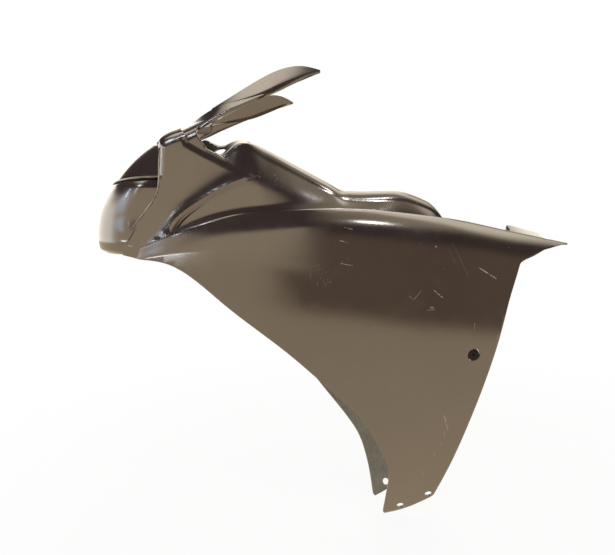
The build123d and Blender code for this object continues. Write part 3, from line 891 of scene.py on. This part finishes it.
def arm_skins():
    """Left screen arm: outer rail, and the screen seat stepped in above it."""
    rail, seat = [], []
    for x, low_w, low_z, high_w, high_z, seam in ARM:
        low, high = np.array([low_w, low_z]), np.array([high_w, high_z])
        lap = max(seam - SEAT_LAP / np.linalg.norm(high - low), 0)
        if seam > 0:
            rail.append((x, *low, *(low + seam * (high - low))))
        if seam < 1:
            seat.append((x, *(low + lap * (high - low)), *high))
    return strip_skin(rail, 0), strip_skin(seat, SEAT_STEP)


def shade_bush_mesh():
    """Both bushes, dark as painted shade: rings turned round the side hole axis, in guide places.
    """
    n, rings = BUSH_SIDES, len(BUSH_PROFILE)
    face_w = values_at(SIDE_HOLE[0], BELLY_W)[0] - BUSH_INSET
    verts, faces = [], []
    for radius, out in BUSH_PROFILE:
        for k in range(n):
            a = 2 * math.pi * k / n
            x, z = SIDE_HOLE[0] + radius * math.cos(a), SIDE_HOLE[1] + radius * math.sin(a)
            verts.append((x, -face_w - out, z))
    for i in range(rings):
        low, high = i * n, (i + 1) % rings * n
        for k in range(n):
            after = (k + 1) % n
            faces.append([high + k, high + after, low + after, low + k])
    return both_sides((np.array(verts), faces))


def fed(target, inputs):
    """Sets inputs of a node, each from a socket of another node or to a value."""
    for key, value in inputs.items():
        if isinstance(value, bpy.types.NodeSocket):
            target.id_data.links.new(value, target.inputs[key])
        else:
            target.inputs[key].default_value = value


def node(tree, kind, inputs=None, **settings):
    """Adds a node with its settings and inputs."""
    made = tree.nodes.new(kind)
    for key, value in settings.items():
        setattr(made, key, value)
    fed(made, inputs or {})
    return made


def bead_tree():
    """Geometry nodes that sweep a round bead along lines: tree, radius input, material input."""
    tree = bpy.data.node_groups.new("Bead", "GeometryNodeTree")
    face = tree.interface
    face.new_socket("Geometry", in_out="INPUT", socket_type="NodeSocketGeometry")
    radius = face.new_socket("Radius", in_out="INPUT", socket_type="NodeSocketFloat")
    coat = face.new_socket("Coat", in_out="INPUT", socket_type="NodeSocketMaterial")
    face.new_socket("Geometry", in_out="OUTPUT", socket_type="NodeSocketGeometry")
    given = node(tree, "NodeGroupInput").outputs
    girth = node(tree, "GeometryNodeInputNamedAttribute", {"Name": "girth"}, data_type="FLOAT")
    line = node(tree, "GeometryNodeMeshToCurve", {"Mesh": given["Geometry"]})
    circle = {"Resolution": BEAD_SIDES, "Radius": given["Radius"]}
    ring = node(tree, "GeometryNodeCurvePrimitiveCircle", circle)
    sweep = node(tree, "GeometryNodeCurveToMesh", {
        "Curve": line.outputs["Curve"], "Profile Curve": ring.outputs["Curve"],
        "Scale": girth.outputs["Attribute"], "Fill Caps": True,
    })
    real = node(tree, "GeometryNodeRealizeInstances", {"Geometry": sweep.outputs["Mesh"]})
    coated = {"Geometry": real.outputs["Geometry"], "Material": given["Coat"]}
    paint = node(tree, "GeometryNodeSetMaterial", coated)
    node(tree, "NodeGroupOutput", {"Geometry": paint.outputs["Geometry"]})
    return tree, radius.identifier, coat.identifier


def mixed(share, low, high):
    """Colour between two colours or sockets, by a share socket."""
    low, high = (c if isinstance(c, bpy.types.NodeSocket) else (*c, 1) for c in (low, high))
    inputs = {0: share, 6: low, 7: high}
    return node(share.id_data, "ShaderNodeMix", inputs, data_type="RGBA").outputs[2]


def ramped(value, start, end, low=0.0, high=1.0, kind="SMOOTHSTEP"):
    """Number from low to high while a value goes from start to end."""
    inputs = dict(enumerate((value, start, end, low, high)))
    return node(value.id_data, "ShaderNodeMapRange", inputs, interpolation_type=kind).outputs[0]


def scaled(first, second, kind="MULTIPLY"):
    """One number from two sockets or a socket and a number."""
    return node(first.id_data, "ShaderNodeMath", {0: first, 1: second}, operation=kind).outputs[0]


def folded(values, kind):
    """One number from several sockets."""
    return reduce(lambda first, second: scaled(first, second, kind), values)


def vector(kind, first, second, output=0):
    """Vector or, as output 1, number from two sockets or a socket and a value."""
    inputs = {0: first, 3 if kind == "SCALE" else 1: second}
    return node(first.id_data, "ShaderNodeVectorMath", inputs, operation=kind).outputs[output]


def parts_of(place):
    """The three numbers of a vector socket."""
    return node(place.id_data, "ShaderNodeSeparateXYZ", {0: place}).outputs


def noise(place, scale, detail=3.0, rough=0.55):
    """Noise value on a place socket."""
    inputs = {"Vector": place, "Scale": scale, "Detail": detail, "Roughness": rough}
    return node(place.id_data, "ShaderNodeTexNoise", inputs).outputs["Fac"]


def cells(place, scale):
    """Distance from the middle of scattered cells on a place socket."""
    inputs = {"Vector": place, "Scale": scale, "Randomness": 1.0}
    return node(place.id_data, "ShaderNodeTexVoronoi", inputs).outputs["Distance"]


def raised(height, strength, distance, below=None):
    """Bump from a height socket, over another bump where one is given."""
    inputs = {"Height": height, "Strength": strength, "Distance": distance}
    if below is not None:
        inputs["Normal"] = below
    return node(height.id_data, "ShaderNodeBump", inputs).outputs["Normal"]


def new_material(name):
    """Material with nodes: material, shader, place socket."""
    material = bpy.data.materials.new(name)
    material.use_nodes = True
    tree = material.node_tree
    place = node(tree, "ShaderNodeTexCoord").outputs["Object"]
    return material, tree.nodes["Principled BSDF"], place


def stroke_group():
    """Node group: share of a thin stroke between two places, uneven along its length."""
    group = bpy.data.node_groups.new("Stroke", "ShaderNodeTree")
    for name in ("Place", "Start", "End"):
        group.interface.new_socket(name, in_out="INPUT", socket_type="NodeSocketVector")
    for name in ("Width", "Uneven"):
        group.interface.new_socket(name, in_out="INPUT", socket_type="NodeSocketFloat")
    group.interface.new_socket("Share", in_out="OUTPUT", socket_type="NodeSocketFloat")
    given = node(group, "NodeGroupInput").outputs
    line = vector("SUBTRACT", given["End"], given["Start"])
    away = vector("SUBTRACT", given["Place"], given["Start"])
    length = vector("DOT_PRODUCT", line, line, 1)
    along = scaled(vector("DOT_PRODUCT", away, line, 1), length, "DIVIDE")
    clamp = node(group, "ShaderNodeClamp", {0: along})
    gap = vector("DISTANCE", away, vector("SCALE", line, clamp.outputs[0]), 1)
    ragged = scaled(given["Width"], scaled(given["Uneven"], 1.5))
    near = ramped(scaled(gap, ragged, "DIVIDE"), 1.0, 0.3)
    broken = ramped(given["Uneven"], 0.36, 0.56)
    node(group, "NodeGroupOutput", {"Share": scaled(near, broken)})
    return group


def scratches(place):
    """Share of the scratches on the near side of the moulding."""
    group = stroke_group()
    uneven = noise(place, 420.0, 2.0)
    shares = []
    for start, end, width, depth in SCRATCHES:
        inputs = {"Place": place, "Uneven": uneven, "Start": start, "End": end, "Width": width * MM}
        made = node(place.id_data, "ShaderNodeGroup", inputs, node_tree=group)
        shares.append(scaled(made.outputs["Share"], depth))
    return folded(shares, "MAXIMUM")


def chips(place):
    """Share of small chips in two patches, and of fine dust all over."""
    near = []
    for centre, reach in CHIP_PATCHES:
        near.append(ramped(vector("DISTANCE", place, centre, 1), reach, 0.4 * reach))
    dots = scaled(ramped(cells(place, 420.0), 0.3, 0.1), folded(near, "MAXIMUM"))
    some = ramped(noise(place, 150.0, 2.0), 0.5, 0.58)
    specks = ramped(cells(place, 95.0), 0.075, 0.03)
    rare = ramped(noise(place, 21.0, 2.0), 0.58, 0.66)
    dust = scaled(scaled(specks, rare), 0.5)
    return scaled(scaled(dots, scaled(some, 0.6)), dust, "MAXIMUM")


def gel_coat(look):
    """Glossy black gel coat with a brown cast, uneven gloss, dust, scratches and chips."""
    material, shader, place = new_material("Gel coat")
    cloud = noise(place, 5.0, 4.0, 0.6)
    haze = noise(place, 26.0, 5.0, 0.65)
    colour = mixed(ramped(cloud, 0.35, 0.68), look.coat_colour, look.coat_faded)
    colour = mixed(scaled(ramped(haze, 0.52, 0.78), 0.35), colour, look.dust_colour)
    marks = scaled(scratches(place), chips(place), "MAXIMUM")
    gloss = ramped(haze, 0.3, 0.75, 0.115, 0.2, "LINEAR")
    wave = raised(noise(place, 7.0, 2.0, 0.4), 0.10, 0.004)
    peel = raised(noise(place, 210.0, 2.0), 0.05, 0.0004, wave)
    fed(shader, {
        "Base Color": mixed(marks, colour, look.scratch_colour),
        "IOR": 2.05,
        "Roughness": scaled(gloss, scaled(marks, 0.4), "ADD"),
        "Normal": raised(scaled(marks, -1.0), 0.3, 0.0003, peel),
    })
    return material


def raw_laminate(look):
    """Dull grey-brown inner side: chopped strands wetted out with resin."""
    material, shader, place = new_material("Raw laminate")
    strands = []
    for k, turn in enumerate((0.3, 1.3, 2.4)):
        ways = {"Vector": place, "Rotation": (0.5 * k, turn, 0.4 * turn), "Scale": (260, 260, 22)}
        lay = node(place.id_data, "ShaderNodeMapping", ways)
        strands.append(noise(lay.outputs[0], 1.0, 2.0, 0.5))
    fibre = ramped(folded(strands, "MAXIMUM"), 0.5, 0.78)
    pool = ramped(noise(place, 14.0, 4.0), 0.35, 0.7)
    colour = mixed(pool, look.inner_dark, look.inner_colour)
    low = raised(noise(place, 60.0, 3.0), 0.35, 0.0012)
    fed(shader, {
        "Base Color": mixed(scaled(fibre, 0.45), colour, look.strand_colour),
        "IOR": 1.52,
        "Roughness": ramped(pool, 0.0, 1.0, 0.78, 0.5, "LINEAR"),
        "Normal": raised(fibre, 0.4, 0.0006, low),
    })
    return material


def worn_edge_and_highlight(look):
    """Trimmed edge where pale laminate shows through the coat; the pale is also a painted
    highlight.
    """
    material, shader, place = new_material("Worn edge and highlight")
    worn = ramped(noise(place, 38.0, 4.0, 0.65), 0.38, 0.6)
    fed(shader, {
        "Base Color": mixed(worn, look.edge_dark, look.edge_and_highlight_colour),
        "Roughness": 0.42,
        "Normal": raised(noise(place, 600.0, 2.0), 0.25, 0.0003),
    })
    return material


def shade_rubber(look):
    """Plain black rubber, slightly greyed, its dark a painted shade for the inside of the side
    holes.
    """
    material, shader, place = new_material("Rubber shade")
    fed(shader, {
        "Base Color": mixed(noise(place, 160.0, 3.0), look.rubber_shade_colour, look.rubber_shade_grey),
        "Specular IOR Level": 0.2,
        "Roughness": 0.7,
        "Normal": raised(noise(place, 900.0, 2.0), 0.2, 0.0002),
    })
    return material


class FairingLook(bpy.types.PropertyGroup):
    """Sizes and colours of the moulding."""

    wall: FloatProperty(
        name="Wall", description="Thickness of the laminate",
        default=0.003, unit="LENGTH", min=0.001,
    )
    ridge_radius: FloatProperty(
        name="Ridge radius", description="Radius of the bead along the flank",
        default=0.0022, unit="LENGTH",
    )
    coat_colour: FloatVectorProperty(
        name="Coat colour", description="Colour of the gel coat",
        default=(0.018, 0.0135, 0.011), subtype="COLOR",
    )
    coat_faded: FloatVectorProperty(
        name="Faded coat", description="Gel coat where it has faded",
        default=(0.027, 0.021, 0.0165), subtype="COLOR",
    )
    dust_colour: FloatVectorProperty(
        name="Dust", description="Dust and polish haze on the coat",
        default=(0.056, 0.047, 0.036), subtype="COLOR",
    )
    scratch_colour: FloatVectorProperty(
        name="Scratches", description="Bottom of scratches and chips",
        default=(0.5, 0.44, 0.34), subtype="COLOR",
    )
    inner_colour: FloatVectorProperty(
        name="Inner colour", description="Colour of the inner side",
        default=(0.26, 0.238, 0.19), subtype="COLOR",
    )
    inner_dark: FloatVectorProperty(
        name="Inner dark", description="Inner side between the strands",
        default=(0.19, 0.175, 0.142), subtype="COLOR",
    )
    strand_colour: FloatVectorProperty(
        name="Strands", description="Glass strands on the inner side",
        default=(0.33, 0.31, 0.25), subtype="COLOR",
    )
    # pale of the trimmed edges, which also serves as a painted highlight line on edges and lip
    # beads
    edge_and_highlight_colour: FloatVectorProperty(
        name="Worn edge and highlight", description="Laminate at the trimmed edges",
        default=(0.5, 0.43, 0.34), subtype="COLOR",
    )
    edge_dark: FloatVectorProperty(
        name="Sound edge", description="Edges where the coat is whole",
        default=(0.2, 0.17, 0.14), subtype="COLOR",
    )
    # dark of the bushes: painted shade for the inside of the side holes
    rubber_shade_colour: FloatVectorProperty(
        name="Rubber shade", description="Bushes in the side holes",
        default=(0.012, 0.009, 0.009), subtype="COLOR",
    )
    rubber_shade_grey: FloatVectorProperty(
        name="Greyed rubber", description="Bloom on the rubber",
        default=(0.03, 0.022, 0.021), subtype="COLOR",
    )


class FairingStage(bpy.types.PropertyGroup):
    """Floor, light and camera of the picture."""

    floor_size: FloatProperty(
        name="Floor size", description="Side of the floor", default=7.0, unit="LENGTH"
    )
    lens: FloatProperty(
        name="Lens", description="Focal length of the camera",
        default=35.0, subtype="DISTANCE_CAMERA",
    )
    floor_dark: FloatProperty(
        name="Dark from", description="Where the floor ends in reflections",
        default=1.35, unit="LENGTH",
    )
    floor_glow: FloatProperty(
        name="Floor white", description="Share of plain white in the floor",
        default=0.92, subtype="FACTOR",
    )
    floor_warm: FloatVectorProperty(
        name="Floor reflection", description="Floor seen in the gel coat",
        default=(1.36, 1.05, 0.7), subtype="COLOR", max=4.0,
    )
    room_dark: FloatVectorProperty(
        name="Room dark", description="Dark room seen in the gel coat",
        default=(0.12, 0.08, 0.085), subtype="COLOR",
    )
    room_low: FloatVectorProperty(
        name="Room low", description="Dark end of the floor in the gel coat",
        default=(0.42, 0.27, 0.19), subtype="COLOR",
    )
    room_mid: FloatVectorProperty(
        name="Room middle", description="Middle of the room in the gel coat",
        default=(1.3, 1.05, 0.75), subtype="COLOR", max=4.0,
    )
    room_high: FloatVectorProperty(
        name="Soft boxes", description="Soft boxes above seen in the gel coat",
        default=(3.6, 3.1, 2.5), subtype="COLOR", max=4.0,
    )
    room_strip: FloatVectorProperty(
        name="Strip light", description="Low strip of cool light in the gel coat",
        default=(2.3, 2.4, 2.6), subtype="COLOR", max=4.0,
    )
    room_wall: FloatVectorProperty(
        name="Front wall", description="Wall in front seen in the gel coat",
        default=(1.48, 1.16, 0.79), subtype="COLOR", max=4.0,
    )
    room_left: FloatVectorProperty(
        name="Paper at the left", description="White paper seen in the nose",
        default=(3.3, 3.0, 2.6), subtype="COLOR", max=4.0,
    )
    room_back: FloatVectorProperty(
        name="Backdrop", description="Backdrop seen in the gel coat",
        default=(3.2, 2.9, 2.4), subtype="COLOR", max=4.0,
    )
    room_fill: FloatVectorProperty(
        name="Fill", description="Even light on all surfaces",
        default=(0.7, 0.68, 0.64), subtype="COLOR",
    )


def materials(context):
    """The outer, the inner and the edge material (worn edge, also a painted highlight), made once.
    """
    look = context.scene.fairing_look
    outer = bpy.data.materials.get("Gel coat") or gel_coat(look)
    inner = bpy.data.materials.get("Raw laminate") or raw_laminate(look)
    edge = bpy.data.materials.get("Worn edge and highlight") or worn_edge_and_highlight(look)
    return [outer, inner, edge]


class FAIRING_OT_panels(bpy.types.Operator):
    """Build both side panels with their shelf and fixing holes."""

    bl_idname = "fairing.panels"
    bl_label = "Side panels"

    def execute(self, context):
        near = turned_out(body_skin(body_outline()), OUTWARD)
        far = turned_out(body_skin(body_outline(FAR_FRONT_EDGE, FAR_LOWER_EDGE)), OUTWARD)
        holes = [((SIDE_HOLE[0], 0, SIDE_HOLE[1]), (0, 1, 0), SIDE_HOLE_R, SIDE_HOLE_RUN)]
        holes += hole_pairs(TIP_HOLES, TIP_SQUARE, TIP_HOLE_R, TIP_HOLE_RUN)
        wall = context.scene.fairing_look.wall
        laminate("Side panels", both_sides(near, far), wall, materials(context), holes)
        return {"FINISHED"}


class FAIRING_OT_bands(bpy.types.Operator):
    """Build both upper bands with their rolled rims and rim holes."""

    bl_idname = "fairing.bands"
    bl_label = "Upper bands"

    def execute(self, context):
        skin = both_sides(turned_out(band_skin(), (0, -1, 0.3)))
        holes = hole_pairs(RIM_HOLES, RIM_SQUARE, RIM_HOLE_R, RIM_HOLE_RUN)
        laminate("Upper bands", skin, context.scene.fairing_look.wall, materials(context), holes)
        return {"FINISHED"}


class FAIRING_OT_deck(bpy.types.Operator):
    """Build the flat flanks, the arched deck and the screen flange."""

    bl_idname = "fairing.deck"
    bl_label = "Flanks and deck"

    def execute(self, context):
        wall = context.scene.fairing_look.wall
        outer, inner, edge = materials(context)
        deck = with_return(turned_out(deck_skin(), UPWARD), deck_return)
        laminate("Flanks and deck", both_sides(deck), wall, (outer, inner, outer), bevel=DECK_BEVEL)
        flange = turned_out(flange_skin(), UPWARD)
        laminate("Screen flange", both_sides(flange), wall, (outer, inner, edge))
        return {"FINISHED"}


class FAIRING_OT_nose(bpy.types.Operator):
    """Build the rounded nose with its air slot and the blade over it."""

    bl_idname = "fairing.nose"
    bl_label = "Nose"

    def execute(self, context):
        for name, skin, way, wall in (
            ("Nose", nose_skin(), (-1, -1, 0), context.scene.fairing_look.wall),
            ("Slot floor", slot_floor_skin(), (-1, -1, 0), SLOT_WALL),
            ("Blade", blade_skin(), (0, 0, 1), BLADE_WALL),
        ):
            laminate(name, both_sides(turned_out(skin, way)), wall, materials(context))
        return {"FINISHED"}


class FAIRING_OT_ridges(bpy.types.Operator):
    """Run a rounded bead along the ridge and the lip of each flank; the pale lip bead is a painted
    highlight.
    """

    bl_idname = "fairing.ridges"
    bl_label = "Ridges"

    def execute(self, context):
        outer, _, edge = materials(context)
        tree, radius, coat = bead_tree()
        # the lip beads take the pale edge coat as a painted highlight line along each lip
        for name, lines, material in (("Ridges", ridge_lines, outer), ("Lip highlights", lip_highlight_lines, edge)):
            verts, edges, girth = lines()
            obj = shell_part(name, verts, edges, [])
            obj.data.attributes.new("girth", "FLOAT", "POINT").data.foreach_set("value", girth)
            bead = obj.modifiers.new("Bead", "NODES")
            bead.node_group = tree
            bead[radius] = context.scene.fairing_look.ridge_radius
            bead[coat] = material
            baked(obj)
        return {"FINISHED"}


class FAIRING_OT_fins(bpy.types.Operator):
    """Build the upstand on the crease of both rear fins."""

    bl_idname = "fairing.fins"
    bl_label = "Fin upstands"

    def execute(self, context):
        skin = both_sides(turned_out(fin_skin(), OUTWARD))
        laminate("Fin upstands", skin, FIN_WALL, materials(context), bevel=0)
        return {"FINISHED"}


class FAIRING_OT_bushes(bpy.types.Operator):
    """Fill both side fixing holes with a plain dark rubber bush, its dark a painted shade of the
    hole.
    """

    bl_idname = "fairing.bushes"
    bl_label = "Rubber shade bushes"

    def execute(self, context):
        coat = bpy.data.materials.get("Rubber shade") or shade_rubber(context.scene.fairing_look)
        verts, faces = shade_bush_mesh()
        shell_part("Bushes", verts, [], faces, [coat])
        return {"FINISHED"}


class FAIRING_OT_arms(bpy.types.Operator):
    """Build both screen arms."""

    bl_idname = "fairing.arms"
    bl_label = "Screen arms"

    def execute(self, context):
        wall = context.scene.fairing_look.wall
        outer, _, edge = materials(context)
        for name, skin in zip(("Arm rails", "Screen seats"), arm_skins()):
            skin = both_sides(turned_out(skin, UPWARD))
            laminate(name, skin, wall, (outer, outer, edge), bevel=0)
        return {"FINISHED"}


class FAIRING_OT_stage(bpy.types.Operator):
    """Set up the floor, the lights, the world and the camera."""

    bl_idname = "fairing.stage"
    bl_label = "Stage"

    def execute(self, context):
        build_stage(context.scene, context.scene.fairing_stage)
        return {"FINISHED"}


class FAIRING_OT_join(bpy.types.Operator):
    """Join all areas of the moulding into one piece."""

    bl_idname = "fairing.join"
    bl_label = "One moulding"

    def execute(self, context):
        join_shell(context)
        return {"FINISHED"}


class FAIRING_PT_panel(bpy.types.Panel):
    """Sidebar panel of the fairing."""

    bl_idname = "FAIRING_PT_panel"
    bl_label = "Fairing"
    bl_space_type = "VIEW_3D"
    bl_region_type = "UI"
    bl_category = "Fairing"

    def draw(self, context):
        for group in (context.scene.fairing_look, context.scene.fairing_stage):
            for name in group.__annotations__:
                self.layout.prop(group, name)
        for operator in OPERATORS:
            self.layout.operator(operator.bl_idname)


def join_shell(context):
    """One object from all areas, smooth but for its edges."""
    for obj in context.scene.objects:
        obj.select_set(obj in SHELL_PARTS)
    context.view_layer.objects.active = SHELL_PARTS[0]
    bpy.ops.object.join()
    shell = SHELL_PARTS[0]
    shell.name = shell.data.name = "fairing_moulding"
    SHELL_PARTS.clear()
    mesh = shell.data
    mesh.polygons.foreach_set("use_smooth", np.ones(len(mesh.polygons), bool))
    mesh.set_sharp_from_angle(angle=math.radians(SMOOTH_ANGLE))
    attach(shell, BODY)
    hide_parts(NODE)


def soft_box(name, way, distance, at, size, power, colour):
    """Area lamp seen from a place in a direction, aimed back at that place."""
    lamp = bpy.data.lights.new(name, "AREA")
    lamp.shape = "RECTANGLE"
    lamp.size, lamp.size_y = size
    lamp.energy = power
    lamp.color = colour
    obj = bpy.data.objects.new(name, lamp)
    way = Vector(way).normalized()
    obj.location = Vector(at) + way * distance
    obj.rotation_euler = (-way).to_track_quat("-Z", "Y").to_euler()
    obj.visible_camera = False
    bpy.context.scene.collection.objects.link(obj)
    return obj


def patch(turn, height, across, up):
    """Share of a soft-edged patch of the room, from four turns and four heights in degrees."""
    shares = []
    for value, limits in ((turn, across), (height, up)):
        start, full, fade, end = map(math.radians, limits)
        shares += [ramped(value, start, full), ramped(value, end, fade)]
    return folded(shares, "MULTIPLY")


def white_room(stage):
    """White surroundings for the camera; in reflections a dark room with bright patches."""
    world = bpy.data.worlds.new("White room")
    world.use_nodes = True
    tree = world.node_tree
    x, y, z = parts_of(node(tree, "ShaderNodeTexCoord").outputs["Generated"])
    turn = scaled(x, scaled(y, -1.0), "ARCTAN2")
    height = scaled(z, 0.0, "ARCSINE")
    back = scaled(ramped(y, 0.05, 0.5), ramped(x, -0.55, -0.1))
    colour = mixed(back, stage.room_dark, stage.room_back)
    for across, up, shade in ROOM:
        colour = mixed(patch(turn, height, across, up), colour, getattr(stage, shade))
    path = node(tree, "ShaderNodeLightPath").outputs
    seen = scaled(path["Is Camera Ray"], path["Is Transmission Ray"], "MAXIMUM")
    colour = mixed(path["Is Glossy Ray"], stage.room_fill, colour)
    fed(tree.nodes["Background"], {"Color": mixed(seen, colour, WHITE)})
    return world


def floor_paper(stage):
    """White floor that keeps a faint shadow and ends in the dark of the room in reflections."""
    paper, shader, place = new_material("Floor paper")
    fed(shader, {"Base Color": (0.85, 0.85, 0.85, 1), "Roughness": 0.9, "Specular IOR Level": 0.0})
    tree = paper.node_tree
    x, y, _ = parts_of(place)
    far = ramped(y, -0.85, -stage.floor_dark)
    across = scaled(x, scaled(y, -0.4), "ADD")
    dark = scaled(far, ramped(across, -0.45, 0.0))
    path = node(tree, "ShaderNodeLightPath").outputs
    colour = mixed(dark, stage.floor_warm, stage.room_low)
    colour = mixed(path["Is Glossy Ray"], WHITE, colour)
    glow = node(tree, "ShaderNodeEmission", {"Color": colour})
    open_floor = ramped(vector("LENGTH", place, (0, 0, 0), 1), 0.55, 1.5)
    plain = scaled(scaled(open_floor, 1.0 - stage.floor_glow), stage.floor_glow, "ADD")
    seen = scaled(path["Is Camera Ray"], plain)
    share = scaled(seen, path["Is Glossy Ray"], "MAXIMUM")
    inputs = dict(enumerate((share, shader.outputs[0], glow.outputs[0])))
    mix = node(tree, "ShaderNodeMixShader", inputs)
    fed(tree.nodes["Material Output"], {"Surface": mix.outputs[0]})
    return paper


def build_stage(scene, stage):
    """Floor, world, lamps and camera."""
    half = stage.floor_size / 2
    low = CAD_BOX[0][2]
    mesh = bpy.data.meshes.new("Floor")
    corners = [(-half, -half, low), (half, -half, low), (half, half, low), (-half, half, low)]
    mesh.from_pydata(corners, [], [(0, 1, 2, 3)])
    floor = bpy.data.objects.new("Floor", mesh)
    scene.collection.objects.link(floor)
    mesh.materials.append(floor_paper(stage))
    scene.world = white_room(stage)
    lamps = [soft_box(*lamp) for lamp in LAMPS]
    camera = bpy.data.cameras.new("Camera")
    camera.sensor_width = SENSOR
    camera.lens = stage.lens
    eye = bpy.data.objects.new("Camera", camera)
    eye.location = CAMERA_AT
    eye.rotation_euler = (math.radians(90 - CAMERA_PITCH), 0, math.radians(CAMERA_TURN))
    scene.collection.objects.link(eye)
    scene.camera = eye
    scene.view_settings.view_transform = "Standard"


OPERATORS = (
    FAIRING_OT_panels, FAIRING_OT_bands, FAIRING_OT_deck, FAIRING_OT_nose, FAIRING_OT_ridges,
    FAIRING_OT_arms, FAIRING_OT_fins, FAIRING_OT_bushes, FAIRING_OT_join, FAIRING_OT_stage,
)
CLASSES = (FairingLook, FairingStage, *OPERATORS, FAIRING_PT_panel)


def register():
    for cls in CLASSES:
        bpy.utils.register_class(cls)
    bpy.types.Scene.fairing_look = PointerProperty(type=FairingLook)
    bpy.types.Scene.fairing_stage = PointerProperty(type=FairingStage)


def unregister():
    del bpy.types.Scene.fairing_stage
    del bpy.types.Scene.fairing_look
    for cls in reversed(CLASSES):
        bpy.utils.unregister_class(cls)


def main():
    register()
    bpy.ops.fairing.panels()
    bpy.ops.fairing.bands()
    bpy.ops.fairing.deck()
    bpy.ops.fairing.nose()
    bpy.ops.fairing.ridges()
    bpy.ops.fairing.arms()
    bpy.ops.fairing.fins()
    bpy.ops.fairing.bushes()
    bpy.ops.fairing.join()
    bpy.ops.fairing.stage()


if __name__ == "__main__":
    main()
